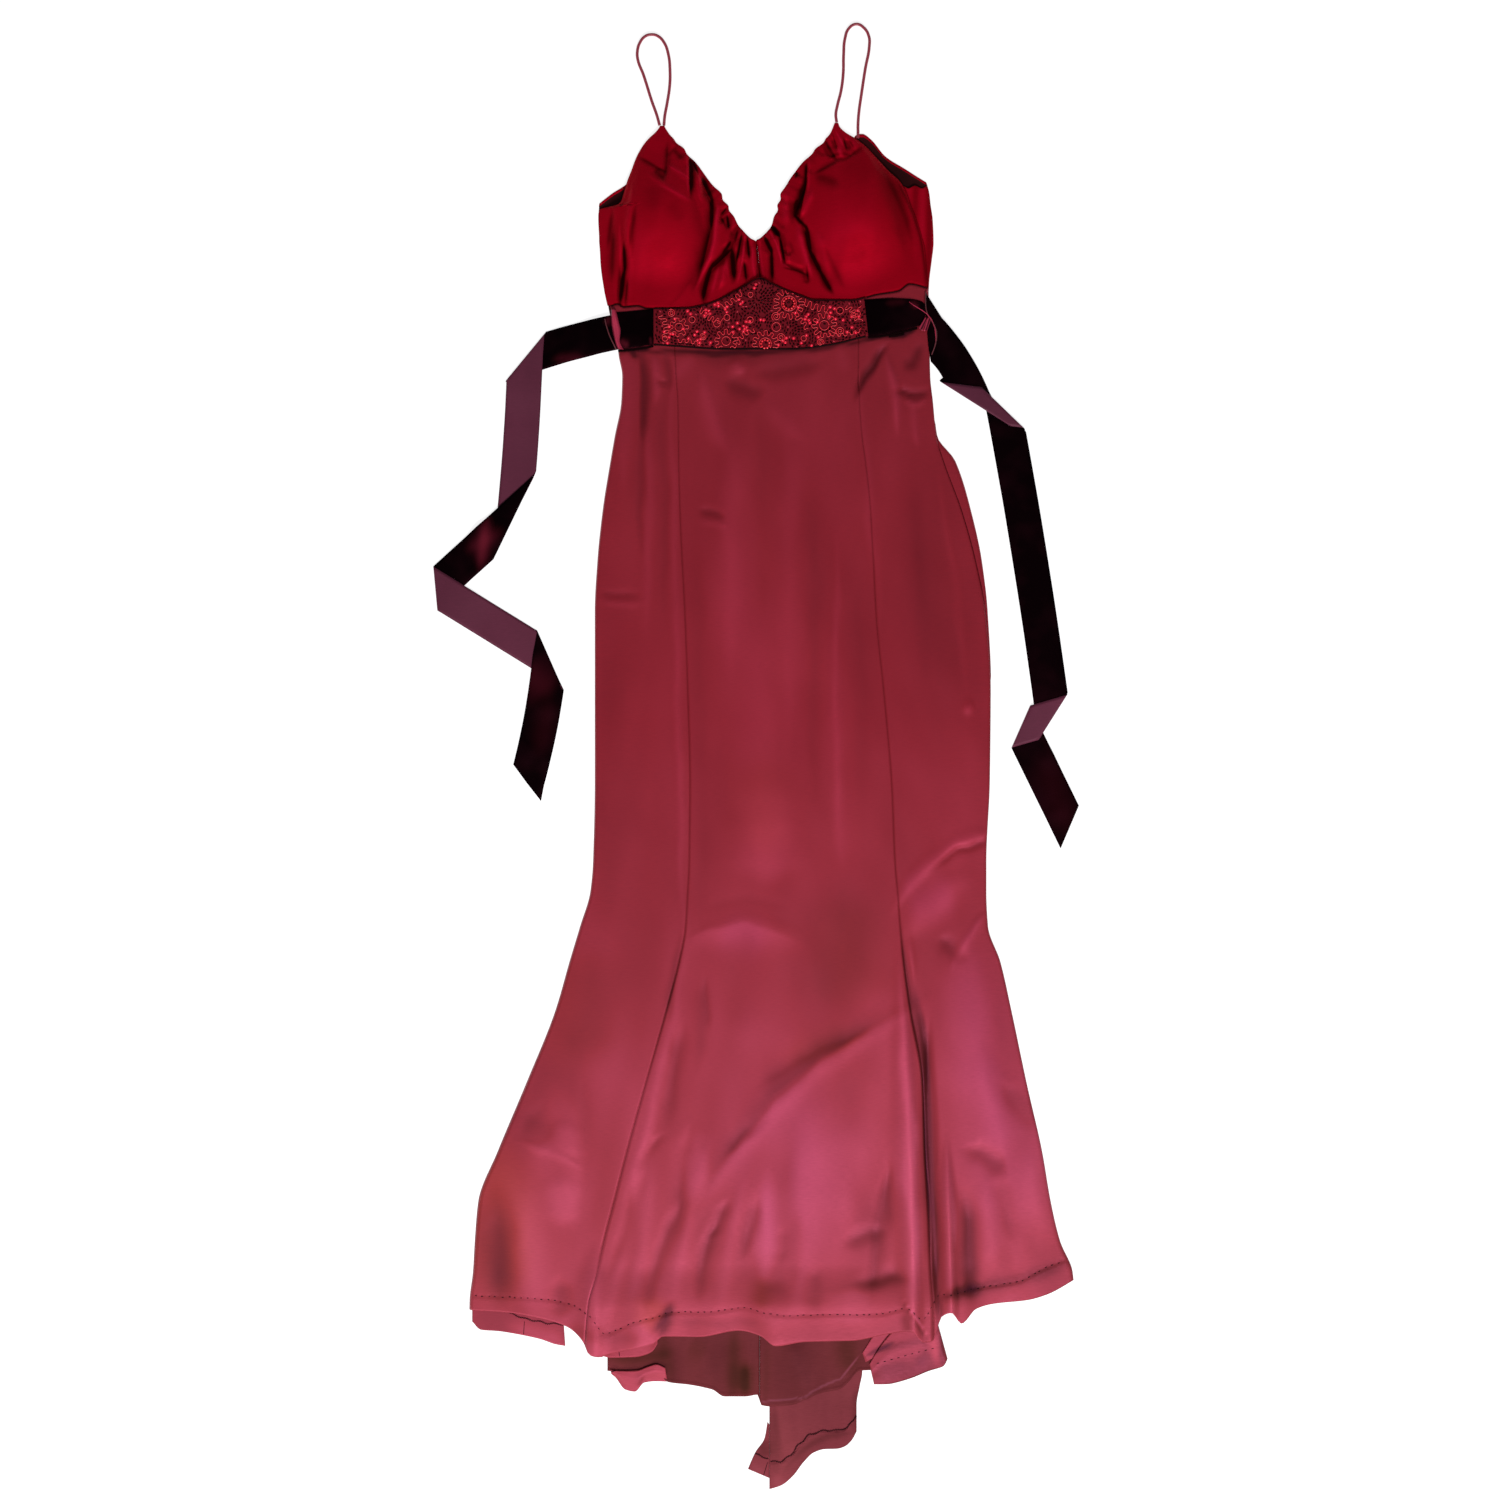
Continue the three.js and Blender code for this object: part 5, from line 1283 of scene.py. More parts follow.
def scalloped(edge, way):
    """A neckline that bulges a little between its gathers."""

    def bulging(y):
        bulge = np.sin(y / 3.3 + 2.4 * np.sin(y / 11)) * ease((y - 655) / 12) * ease((775 - y) / 12)
        return edge(y) + way * bulge

    return bulging


CUP_SIDES = {
    "left": (cup_edges["outer_left"], scalloped(cup_edges["inner_left"], 1), -1),
    "right": (scalloped(cup_edges["inner_right"], -1), cup_edges["outer_right"], 1),
}
for side, (left, right, way) in CUP_SIDES.items():
    plan = between(left, right, lambda x: bust_line(x) + 0.3, level(APEX[side]))
    fine = gathers(cup_edges[f"inner_{side}"], APEX[side], way)
    points = laid(plan, cup_face(side, fine), 185, 190)
    shade = cup_lustre(points[..., 0], points[..., 1], fine)
    cloths = (satin_red, dark_lining)
    cup = sew(f"satin_cup_{side}", points, cloths, f"cup_{side}", "satin_red", lustre=shade)

# ---------- Midriff ----------
# The yoke between bust seam and waist seam is wine satin; most of it lies under the ribbon and the
# beaded panel that are sewn over it.
def midriff_points():
    u, v = grid(150, 40)
    high_x, low_x = (mix(back_side_left(y) + 0.2, back_side_right(y) - 0.2, u) for y in (565, 539))
    x = mix(high_x, low_x, v)
    y = mix(bust_line(high_x) + 0.8, waist_seam(low_x) + 0.2, v)
    edge = np.minimum(x - back_side_left(y), back_side_right(y) - x)
    height = front_height(x, y) - 1.4 * swell(bust_line(x) - y, 1.4)
    height = mix(1.2, height, ease(edge / 3.5) ** 0.6)
    return np.stack((x, y, height), -1)


midriff = sew("satin_midriff", midriff_points(), (satin_wine,), "midriff", "satin_wine")

# ---------- Velvet ribbon over the waist ----------
# One velvet ribbon, about 40 mm wide with a plain plum back, is sewn over the waist from each end of
# the beaded panel to the side seam, where it turns over in its thread loop and goes on as a free tie.
RIBBON = 1.2  # its wall
RIBBON_WIDTH = 40.5


def velvet_finish(name, **settings):
    """Velvet: near black in uneven dark tones, with a painted plum sheen where its painted light says, and
    a close uneven nap.
    """
    material = finish(name, **settings)
    place = added(material, "TexCoord", "Object")
    leaning = added(material, "TexNoise", "Fac", Vector=place, Scale=26)
    pile = added(material, "TexNoise", "Fac", Vector=place, Scale=1100)
    painted_value = added(material, "Attribute", "Fac", [("attribute_name", "lustre")])
    tones = material.node_tree.nodes.new("ShaderNodeValToRGB")
    dark, lighter = tones.color_ramp.elements
    dark.position, dark.color = 0.45, (0.0008, 0.0003, 0.0005, 1)
    lighter.position, lighter.color = 0.8, (0.007, 0.0012, 0.0024, 1)
    plug(material, tones.name, Fac=leaning)
    painted_plum_sheen = (0.11, 0.008, 0.017)
    plug(material, Base_Color=blended(material, painted_value, tones.outputs["Color"], painted_plum_sheen))
    return grained(material, pile, 0.5, 0.0006)


velvet = velvet_finish(
    "velvet",
    Roughness=0.5,
    Specular_IOR_Level=0.04,
    Specular_Tint=(1, 0.2, 0.35),
    Sheen_Weight=0.02,
    Sheen_Roughness=0.3,
    Sheen_Tint=(0.75, 0.12, 0.25),
)
ribbon_back = satin(
    "ribbon_back",
    (0.125, 0.018, 0.042),
    (0.095, 0.012, 0.030),
    Roughness=0.6,
    Specular_IOR_Level=0.35,
    Specular_Tint=(1, 0.7, 0.85),
    Sheen_Weight=0.12,
    Sheen_Roughness=0.45,
    Sheen_Tint=(1, 0.5, 0.7),
)
ribbon_turn_satin = satin(
    "ribbon_turn",
    (0.72, 0.055, 0.125),
    (0.5, 0.035, 0.078),
    deep=(0.12, 0.1, 0.12),
    bright=(1.15, 1.3, 1.3),
    Metallic=0.2,
    Roughness=0.4,
    Specular_IOR_Level=0.4,
    Specular_Tint=(1, 0.35, 0.5),
)
RIBBON_FRONT = table(
    "x top bottom",
    (-158, 567, 524.5),
    (-117.5, 570, 529),
    (126, 581, 539),
    (156, 582.5, 543),
    (177, 582, 548.5),
    (188.5, 580, 551.5),
    (200, 572, 553.5),
)
ribbon_top, ribbon_bottom = curve(RIBBON_FRONT, "x", "top"), curve(RIBBON_FRONT, "x", "bottom")


def band_right(y):
    return mix(129, 124.5, (y - 539) / 41)


def on_front(x, y):
    """Height of what is sewn over the midriff."""
    return front_height(x, y) + SEAM + CLOTH + 0.3


def ribbon_face(x, y, u, v):
    edges = 0.5 * swell(v, 0.05) + 0.5 * swell(1 - v, 0.05)
    return on_front(x, y) - edges + 0.25 * np.sin(x / 9 + y / 17)


# Where a plum sheen is painted on the velvet, from 0 to 1.
FRONT_PAINTED_SHEEN = table(
    FOLDS,
    (-156.5, 533, -146.5, 528.5, 0.75, 4), (-121, 537.5, -120, 529.5, 0.4, 1.5),
    (179, 579, 186, 572, 0.45, 3.5), (150.5, 576.5, 171, 579, 0.15, 4),
)
front_painted_sheen = fold_height(FRONT_PAINTED_SHEEN)
RIBBON_FRONTS = {
    "left": (level(-161), level(-117.5), 0.045),
    "right": (lambda y: band_right(y) + 0.2, lambda y: mix(190, 198, (y - 550.5) / 22), 0.0635),
}
for side, (left, right, long) in RIBBON_FRONTS.items():
    points = laid(between(left, right, ribbon_top, ribbon_bottom, 0), ribbon_face, 50, 30)
    sheen = over(points, front_painted_sheen)
    band = sew(f"velvet_front_{side}", points, (velvet,), f"ribbon_front_{side}", "velvet", lustre=sheen)

# The turn at the left side seam shows the ribbon's satin back as a rounded fold.
TURN_LEFT = table(
    "y left right",
    (569.5, -166.5, -160.5),
    (557, -166.2, -157.5),
    (545, -164.6, -155.2),
    (534, -162, -156),
    (524, -159.2, -151.5),
)
turn_left = between(curve(TURN_LEFT, "y", "left"), curve(TURN_LEFT, "y", "right"), level(569.5), level(524))


def turn_face(x, y, u, v):
    round_over = np.sin(np.pi * np.clip(u * 1.04 - 0.02, 0, 1)) ** 0.6
    crease = 0.8 * swell(u - 0.45 - 0.25 * v, 0.09)
    return 5.4 + 4.2 * round_over - crease + 0.3 * np.sin(y / 4)


points = laid(turn_left, turn_face, 30, 50)
across, down = grid(30, 50)
# Painted light and shade: the fold is painted lighter over most of it, and darker towards its outer edge
# and at both ends.
shade = 0.3 - 1.1 * (1 - ease(across / 0.35)) - 0.45 * (1 - ease(down / 0.4))
shade = shade - 0.7 * ease((down - 0.9) / 0.1)
turn = sew("velvet_turn_left", points, (ribbon_turn_satin,), (), "velvet", lustre=shade)

# At the right side seam the ribbon is twisted, so that its plum back shows as two short folds, and
# its edge as a narrow line that curls on to the tie.
TWISTS = {
    "inner": table(STRIP, (194.5, 560.5, 187, 548, 3.4, 2.8), (197, 558.5, 191, 544.5, 3.8, 3)),
    "outer": table(STRIP, (197.5, 560.5, 192.5, 544.5, 4, 3.2), (201, 558.5, 196.5, 545, 3.2, 2.4)),
}
for name, sections in TWISTS.items():
    points = strip(sections, 12, 30, flute_relief(1, 0.6))
    points[..., 2] += on_front(points[..., 0].clip(None, 194), points[..., 1])
    # Painted shade along each short fold, deeper and lighter by turns.
    painted_twist_shade = 0.6 * np.sin(7.5 * grid(12, 30)[1]) - 0.75
    twist = sew(f"velvet_twist_{name}", points, (ribbon_turn_satin,), (), "velvet", 0.6, lustre=painted_twist_shade)
CURL = [
    (175.7, 577.9, 10.6), (181.5, 573.5, 11.4), (189.5, 568.7, 11.8), (196, 564.2, 11), (201.5, 558, 10),
    (205.5, 548, 9), (206.8, 536, 8), (205.5, 527, 7), (202, 518.5, 6),
]
tubes("velvet_edge_right", [CURL], 0.45, ribbon_turn_satin)

# Dark tubes under both ribbons' lower edges, and one in the hollow at the right, paint the shadow that the
# ribbons cast on the cloth.
velvet_shade = finish(
    "velvet_painted_shadow", Base_Color=(0.006, 0.0004, 0.0008), Roughness=0.9, Specular_IOR_Level=0.05
)
VELVET_SHADOWS = {
    "left": (1.3, (-158, 522.5), (-147.5, 523), (-137, 524), (-127, 525.5), (-117.5, 527.5)),
    "right": (1.3, (129, 537.5), (142.5, 538.5), (154, 540.5), (164, 543), (174.5, 545.5), (185, 548.5)),
    "hollow": (1.8, (152.5, 539), (162, 540), (170, 542.5)),
}
for name, (radius, *corners) in VELVET_SHADOWS.items():
    path = np.array(corners)
    height = on_front(path[:, 0], path[:, 1]) - 0.55 * radius
    tubes(f"velvet_shade_{name}", [np.column_stack((path, height))], radius, velvet_shade)

# ---------- Ribbon ties ----------
# Each tie is one flat ribbon that has been folded over on itself at every turn, so the velvet and
# the plum back show by turns. It is cut off at a slant and lies in low waves on the floor.
TIE_LAYER = 1.7  # from one layer of a folded tie to the next
TIE = "x y arrive leave bow"
TIES = {
    "left": dict(
        start_cut=90,
        flare=0,
        end_cut=-51.9,
        creases=table(
            TIE,
            (-156.5, 545, 0, 3.8, 0),
            (-265, 516, 0, TIE_LAYER, -2),
            (-277.5, 332.5, 0, TIE_LAYER, 1.5),
            (-368.5, 250, 0, TIE_LAYER, 0),
            (-236.5, 168.5, 0, TIE_LAYER, 0),
            (-263.5, 26.5, 0, 0, 3),
        ),
    ),
    "right": dict(
        start_cut=-87,
        flare=6.5,
        end_cut=-113,
        creases=table(
            TIE,
            (196.5, 549.8, 0, 3.8, 0),
            (252.5, 461.5, TIE_LAYER, 2 * TIE_LAYER, 5),
            (285, 457.5, 2 * TIE_LAYER, 0, 0),
            (342, 102, 0, TIE_LAYER, 2.5),
            (304.5, 91, TIE_LAYER, 0, 0),
            (361, -24.5, 0, 0, 0),
        ),
    ),
}
# Waves that stand across the ribbon: from where to where, how wide and how high.
TIE_WAVES = table(
    FOLDS,
    (-329, 327, -285.5, 298.5, 3.4, 9, 12), (-322.5, 260.5, -350, 295, 1, 8),
    (-225.5, 545.5, -212, 509, 1.4, 12), (-184.5, 555, -179.5, 520.5, 1.6, 8, 9),
    (-253.5, 120, -230.5, 106.5, 2.4, 9, 12), (-265, 68.5, -237, 51, 2.2, 10, 12),
    (-289, 430.5, -248.5, 428.5, 0.9, 20), (280.5, 350, 320.5, 356, 0.9, 24),
    (303.5, 189, 343.5, 195, 0.9, 24), (326.5, 51, 356, 65, 2.2, 10, 12),
    (335.5, -12, 363, 1.5, 1.8, 9, 10), (223, 520.5, 251.5, 534, 1.4, 9),
)
tie_waves = fold_height(TIE_WAVES)
# Where the velvet's pile leans so that it looks plum, from 0 to 1.
TIE_LIE = table(
    FOLDS,
    (-171.5, 552.5, -167, 562, 0.5, 3), (-309.5, 327, -316.5, 277.5, 0.75, 7, 6),
    (-329, 295, -294.5, 314.5, 0.35, 8), (-230.5, 513.5, -200.5, 516, 0.3, 5),
    (-267, 157, -237, 131.5, 0.26, 20), (-237, 120, -248.5, 62.5, 0.1, 12),
    (333, 51, 358.5, -29.5, 0.1, 20), (347, 120, 338, 68.5, 0.1, 9),
)
tie_lie = fold_height(TIE_LIE)
TIE_WALL = 0.7
ROLL_ROWS = 9  # rows round a fold
ACROSS = 12
ROW = 4  # spacing of the rows along a stretch
DROP = 45  # how far past a fold the ribbon comes down
SPARE = 4  # how far past the layer that it lies on
SETTLE = 22  # how far from a fold its waves are full


def cotangent(angle):
    return np.cos(angle) / np.sin(angle)


def spare(bend):
    """How far from a fold a ribbon still lies on its own last stretch."""
    return SPARE + RIBBON_WIDTH / 2 * (1 + abs(np.cos(bend))) / abs(np.sin(bend))


def tie_points(start_cut, flare, end_cut, creases):
    """Rows across a tie: along each flat stretch, then round the fold to the next one."""
    stretches = []
    for start, stop in zip(creases, creases[1:]):
        dx, dy = stop["x"] - start["x"], stop["y"] - start["y"]
        stretches.append((start, stop, np.arctan2(dy, dx), np.hypot(dx, dy)))
    turn = [after[2] - before[2] for before, after in zip(stretches, stretches[1:])]
    half = [np.arctan2(np.sin(bend), np.cos(bend)) / 2 for bend in turn]
    crease = [stretch[2] + bend for stretch, bend in zip(stretches, half)]
    lines = []
    for i, (start, stop, heading, length) in enumerate(stretches):
        up = 1 if i % 2 == 0 else -1
        t = up * np.linspace(-0.5, 0.5, ACROSS + 1) * RIBBON_WIDTH
        first, last = i == 0, i == len(stretches) - 1
        cut_in = (np.radians(start_cut) if first else crease[i - 1]) - heading
        cut_out = (np.radians(end_cut) if last else crease[i]) - heading
        roll_in = 0 if first else abs(start["leave"] - start["arrive"]) / 2 * np.pi / 2
        roll_out = 0 if last else abs(stop["leave"] - stop["arrive"]) / 2 * np.pi / 2
        start_at = t * cotangent(cut_in) + roll_in / abs(np.sin(cut_in))
        end_at = length + t * cotangent(cut_out) - roll_out / abs(np.sin(cut_out))
        keep_in = 2 * SPARE if first else spare(turn[i - 1])
        keep_out = 0 if last else spare(turn[i])
        leave, arrive = start["leave"], stop["arrive"]
        for share in np.linspace(0, 1, max(8, int(length / ROW))):
            a = mix(start_at, end_at, share)
            part = np.clip(a / length, 0, 1)
            if length < keep_in + keep_out + DROP:
                base = mix(leave, arrive, part)
            else:
                base = leave * (1 - ease((a - keep_in) / DROP))
                base = base + arrive * (1 - ease((length - a - keep_out) / DROP))
            spread = flare * (1 - ease(a / 52)) * np.clip(-t / RIBBON_WIDTH * 2, 0, 1) if first else 0
            sideways = t + stop["bow"] * 4 * part * (1 - part) - spread
            x = start["x"] + a * np.cos(heading) - sideways * np.sin(heading)
            y = start["y"] + a * np.sin(heading) + sideways * np.cos(heading)
            free = ease(a / SETTLE) * (1 if last else ease((length - a) / SETTLE))
            lift = free * tie_waves(x, y) + 0.25 * free * (1 - np.cos(a / 17 + i))
            face = np.stack((0 * x, 0 * x, 0 * x + up), -1)
            lines.append((np.stack((x, y, RIBBON / 2 + base + lift), -1), face))
        if last:
            break
        radius, way = abs(stop["leave"] - stop["arrive"]) / 2, np.sign(stop["leave"] - stop["arrive"])
        line = crease[i]
        ahead = np.sign(np.sin(line - heading)) or 1
        normal = np.array((np.sin(line) * ahead, -np.cos(line) * ahead, 0))
        for bend in np.linspace(0, np.pi, ROLL_ROWS + 1)[1:-1]:
            begin = -np.pi / 2 * radius
            out, flat = begin + radius * np.sin(bend), begin + radius * bend
            lean = -way * up * np.sin(bend)
            shear = normal[1] * np.cos(heading) - normal[0] * np.sin(heading)
            along_crease = (t - flat * shear) / np.sin(line - heading)
            x = stop["x"] + along_crease * np.cos(line) + out * normal[0]
            y = stop["y"] + along_crease * np.sin(line) + out * normal[1]
            z = RIBBON / 2 + stop["arrive"] + way * radius * (1 - np.cos(bend)) + 0 * x
            face = np.array((lean * normal[0], lean * normal[1], up * np.cos(bend)))
            lines.append((np.stack((x, y, z), -1), np.broadcast_to(face, (len(t), 3))))
    middle, outwards = (np.array(part) for part in zip(*lines))
    points = middle + outwards * TIE_WALL / 2
    points[..., 2] = np.maximum(points[..., 2], 0.4 + TIE_WALL / 2 * np.maximum(outwards[..., 2], 0))
    return points


for side, cut in TIES.items():
    points = tie_points(**cut)
    looks = dict(wall=TIE_WALL, lustre=over(points, tie_lie))
    tie = sew(f"velvet_tie_{side}", points, (velvet, ribbon_back), f"tie_{side}", "velvet", **looks)

# ---------- Thread loops ----------
# A loop worked in wine thread at each side seam holds the ribbon, which turns over in it. It is sewn
# down above the ribbon and below it.
CARRIERS = {
    "left": [
        (-173, 558.6, 8.4), (-171.6, 552, 9.8), (-169.4, 544.6, 10.4), (-166.6, 537, 10.4),
        (-163.2, 530, 9.6), (-160, 523.6, 7.6),
    ],
    "right": [
        (195.2, 590, 5.6), (195, 572, 9), (197, 564, 9.6), (202, 556, 9.4), (206, 548, 9),
        (207.5, 540, 8.4), (206, 529.5, 7.4), (202, 518, 6),
    ],
}
LOOP = 1.4  # thickness of a loop
thread_wine = threads("thread_wine", (0.16, 0.02, 0.03), (0.07, 0.008, 0.012), 1500, Roughness=0.6)
for side, route in CARRIERS.items():
    cord_curve(f"thread_loop_{side}", f"carrier_{side}", LOOP, route, thread_wine)

# ---------- Hem and edge sewing ----------
# The hem was caught down by hand with short dark stitches. The cut edges of the hem allowances were
# overlocked in dark thread, which shows as an uneven wavy line, and the seams of the hem are dark.
def top_of(piece, spots, lift):
    """Points a little above a finished piece, at these places."""
    body = piece.evaluated_get(bpy.context.evaluated_depsgraph_get())
    points = []
    for x, y in spots:
        hit, place, *_ = body.ray_cast(((x + SHIFT[0]) * MM, (y + SHIFT[1]) * MM, 1), (0, 0, -1))
        if hit:
            points.append((x, y, place[2] / MM - SHIFT[2] + lift))
    return points


def walk(line):
    """The length of a line of places, and the place at a distance along it."""
    line = np.asarray(line, float)
    way = np.concatenate(([0], np.cumsum(np.hypot(*np.diff(line, axis=0).T))))
    return way[-1], lambda at: (np.interp(at, way, line[:, 0]), np.interp(at, way, line[:, 1]))


def stitches(line, pitch, long, height):
    """Short threads one after another along a line of places, a little uneven."""
    length, place = walk(line)
    paths = []
    for start in np.arange(2, length - long, pitch):
        begin = start + draws.uniform(-1, 1)
        x, y = place(begin + np.linspace(0, long * draws.uniform(0.6, 1.15), 4))
        y = y + draws.uniform(-0.5, 0.5)
        paths.append(np.column_stack((x, y, height(x, y) + np.array((0.1, 0.35, 0.35, 0.1)))))
    return paths


def overlock(line, pitch=1.9, swing=0.9):
    """The places of a wavy overlock thread along a line."""
    length, place = walk(line)
    at = np.arange(0, length, pitch / 5)
    side = swing * np.sin(2 * np.pi * at / pitch + np.sin(at / 3)) + 0.7 * np.sin(at / 2.7)
    x, y = place(at)
    ahead = np.gradient(np.column_stack((x, y)), axis=0)
    ahead /= np.linalg.norm(ahead, axis=1)[:, None]
    return np.column_stack((x - ahead[:, 1] * side, y + ahead[:, 0] * side))


DARK = dict(Roughness=0.8, Specular_IOR_Level=0.1)
dark_thread_and_seam_shade = threads("dark_thread_and_seam_shade", (0.022, 0.0015, 0.003), (0.012, 0.001, 0.002), 1500, **DARK)
hem_x = np.linspace(-324.5, 351.5, 300)
hem_line = np.column_stack((hem_x, hem_stitches(hem_x)))
tubes("hem_stitches", stitches(hem_line, 7.6, 2.2, lambda x, y: skirt_face(x, y, 0, 0)), 0.42, dark_thread_and_seam_shade)
OVERLOCKED = {
    "back_hem_left": [(-284.5, -582.5), (-266, -589.5), (-239.5, -595), (-217.5, -596.5)],
    "hem_turn_left": [(-166, -650.5), (-159, -648), (-150, -646.5)],
    "train": [
        (17, -754), (28, -754), (40, -747), (49, -734.5), (61.5, -723), (79, -718),
        (93, -718), (105.5, -714.5), (116, -700),
    ],
    "train_flap": [(-1.5, -744.5), (6.5, -748), (14.5, -750.5)],
}
for node, line in OVERLOCKED.items():
    places = top_of(bpy.data.objects[f"satin_{node}"], overlock(line), 0.25)
    tubes(f"overlock_{node}", [places], 0.36, dark_thread_and_seam_shade)
SEAMS = {
    "back_hem_left": [(-266, -593), (-267, -609)],
    "hem_flute_left": [(-157.5, -620.5), (-156.5, -632)],
    "train_flap": [(13.5, -755), (9, -770)],
    "cup_left": [(1, 649), (1.5, 603)],
}
for node, line in SEAMS.items():
    places = top_of(bpy.data.objects[f"satin_{node}"], np.linspace(*line, 12), 0.05)
    tubes(f"seam_{node}", [places], 0.35, dark_thread_and_seam_shade)
flute = bpy.data.objects["satin_hem_flute_right"]
marks = np.linspace((139, -640), (202, -623.5), 9).tolist()
flute_stitches = [top_of(flute, [(x, y), (x + 1.2, y + 0.3), (x + 2.4, y + 0.5)], 0.2) for x, y in marks]
tubes("flute_stitches", [path for path in flute_stitches if len(path) == 3], 0.4, dark_thread_and_seam_shade)

# A crisp dark tube along the bust seam, where the cups are joined to the yoke, paints the shade in the
# seam.
for name, ends in {"left": (-171, -118), "right": (127, 197)}.items():
    seam_x = np.linspace(*ends, 60)
    seam = np.column_stack((seam_x, bust_line(seam_x) - 0.1))
    tubes(f"bust_seam_{name}", [top_of(midriff, seam - (0, 0.4), 0.9)], 0.45, dark_thread_and_seam_shade)

# ---------- Beaded panel ----------
# The panel is dull rose cloth worked all over by hand: flowers of couched cord, rings, spirals and
# vines, sprays and rows of dark glass beads between them, and scattered bright sequins.
rose_cloth = satin(
    "rose_cloth",
    (0.215, 0.0115, 0.0205),
    (0.15, 0.007, 0.0125),
    Roughness=0.8,
    Specular_IOR_Level=0.03,
    Specular_Tint=(1, 0.2, 0.3),
)


BAND_LEFT = -117
BAND_LIFT = 0.2  # over the ribbons' height


def band_face(x, y, u, v):
    return on_front(x, y) + BAND_LIFT - 0.7 * swell(v, 0.03) - 0.7 * swell(1 - v, 0.03)


band_plan = between(level(BAND_LEFT), band_right, lambda x: bust_line(x) - 0.3, waist_edge)
panel = sew("beaded_band", laid(band_plan, band_face, 140, 40), (rose_cloth,), "beaded_panel", "beading")
# A thin dark line runs along the panel's top edge, and a wider dark tube along its foot paints the shadow
# that the panel casts on the skirt.
rim_x = np.linspace(BAND_LEFT, 126, 120)
dark_edge_and_shadow = finish("panel_edge_and_shadow", Base_Color=(0.012, 0.0008, 0.0015), **DARK)
RIMS = {"upper": (bust_line, -0.4, 0.5), "lower": (waist_edge, 0.1, 1.1)}
for name, (edge, shift, radius) in RIMS.items():
    rim_y = edge(rim_x) + shift
    rim = np.column_stack((rim_x, rim_y, on_front(rim_x, rim_y) - 0.3))
    tubes(f"beaded_panel_dark_line_{name}", [rim], radius, dark_edge_and_shadow)

# ---------- Beading ----------
# Worked by hand over the rose cloth: 1.4 mm cord couched down as flowers, rings, spirals and vines,
# short glass beads sewn in arcs around them, and flat sequins held by a bright seed bead each.
FLOWERS = table(
    "x y ring inner outer petals turn",
    (-34, 533, 5, 8, 13.5, 9, 0.2),
    (38, 576, 8.6, 11.5, 18, 13, 0.5),
    (78.5, 551, 5.4, 8.5, 14.5, 10, 0.1),
    (11, 529.5, 7, 10, 15.5, 11, 0.4),
    (-88, 549, 4.6, 7, 11, 7, 0.9),
)
RINGS = table(
    "x y size",
    (-73, 557.5, 3.6), (-44.5, 553, 3.9), (-33, 560, 3.4), (23.5, 549, 5), (96.5, 568, 4),
    (-6, 586, 2.8), (-6.5, 557, 3.6), (55, 536, 3), (112, 563, 2.8), (-104, 536, 3),
)
SPIRALS = table(
    "x y size turn way",
    (23.5, 561, 5.4, 2.2, 1), (28.5, 537, 5.4, 0.6, -1), (97, 544.5, 5.2, 2.6, 1),
    (74, 531.5, 4.4, 1.2, -1), (-97, 565, 4.6, 0.2, 1), (-60, 538, 4.2, 3.4, -1),
)
VINES = table(
    "x0 y0 x1 y1 bow swing waves",
    (-111, 563, -106, 536, 6, 3.4, 4), (-64, 570, -38, 556, -4, 3.2, 5), (-40, 573, -16, 590, -3, 3, 4),
    (55, 579, 85, 570, -3, 4, 4), (102, 572, 116, 556, 4, 3, 4), (84, 541, 121, 546, -3, 1.6, 5),
    (-21, 528, 0, 545, 5, 2.6, 4), (44, 560, 58, 545, 4, 2.6, 3), (-90, 533, -62, 528.5, 2, 2, 4),
    (119.5, 574, 121, 556, -2, 1.6, 2),
)
LOBE = 0.52  # how far the petals and bends bulge over their necks


def circle(x, y, radius, angle):
    """Places round a middle, at these distances and angles."""
    return np.stack((x + radius * np.cos(angle), y + radius * np.sin(angle)), -1)


def flower_line(x, y, ring, inner, outer, petals, turn):
    way = np.linspace(0, 2 * np.pi * petals, 14 * petals + 1)
    uneven = 1 + 0.18 * np.sin(1.7 * way + turn)
    radius = (inner + outer) / 2 + (outer - inner) / 2 * np.cos(way) * uneven
    return circle(x, y, radius, (way + LOBE * np.sin(2 * way)) / petals + turn)


def ring_line(x, y, size):
    return circle(x, y, size, np.linspace(0, 2 * np.pi, 29))


def spiral_line(x, y, size, turn, way):
    angle = np.linspace(1.2, 4.6 * np.pi, 70)
    return circle(x, y, size * (angle / angle[-1]) ** 0.9, turn + way * angle)


def vine_line(x0, y0, x1, y1, bow, swing, waves):
    long = np.hypot(x1 - x0, y1 - y0)
    way = np.linspace(0, 2 * np.pi * waves, 14 * waves + 1)
    share = (way + LOBE * np.sin(2 * way)) / way[-1]
    side = swing * np.cos(way) + bow * 4 * share * (1 - share)
    x = x0 + (x1 - x0) * share - (y1 - y0) / long * side
    return np.stack((x, y0 + (y1 - y0) * share + (x1 - x0) / long * side), -1)


def in_band(spots, margin):
    """Which places are on the panel, well inside its edges."""
    x, y = spots[:, 0], spots[:, 1]
    across = (x > BAND_LEFT + margin) & (x < band_right(y) - margin)
    return across & (y < bust_line(x) - margin) & (y > waist_edge(x) + margin)


def on_band(spots, lift):
    x, y = spots[:, 0], spots[:, 1]
    return np.column_stack((x, y, on_front(x, y) + BAND_LIFT + lift))


def distance(spots, others):
    """How far each of some places is from each of others."""
    return np.hypot(*(spots[:, None] - others[None]).transpose(2, 0, 1))


def apart(spots, others, least):
    """Which of some places are far enough from all of the others."""
    return np.min(distance(spots, others), axis=1) > least


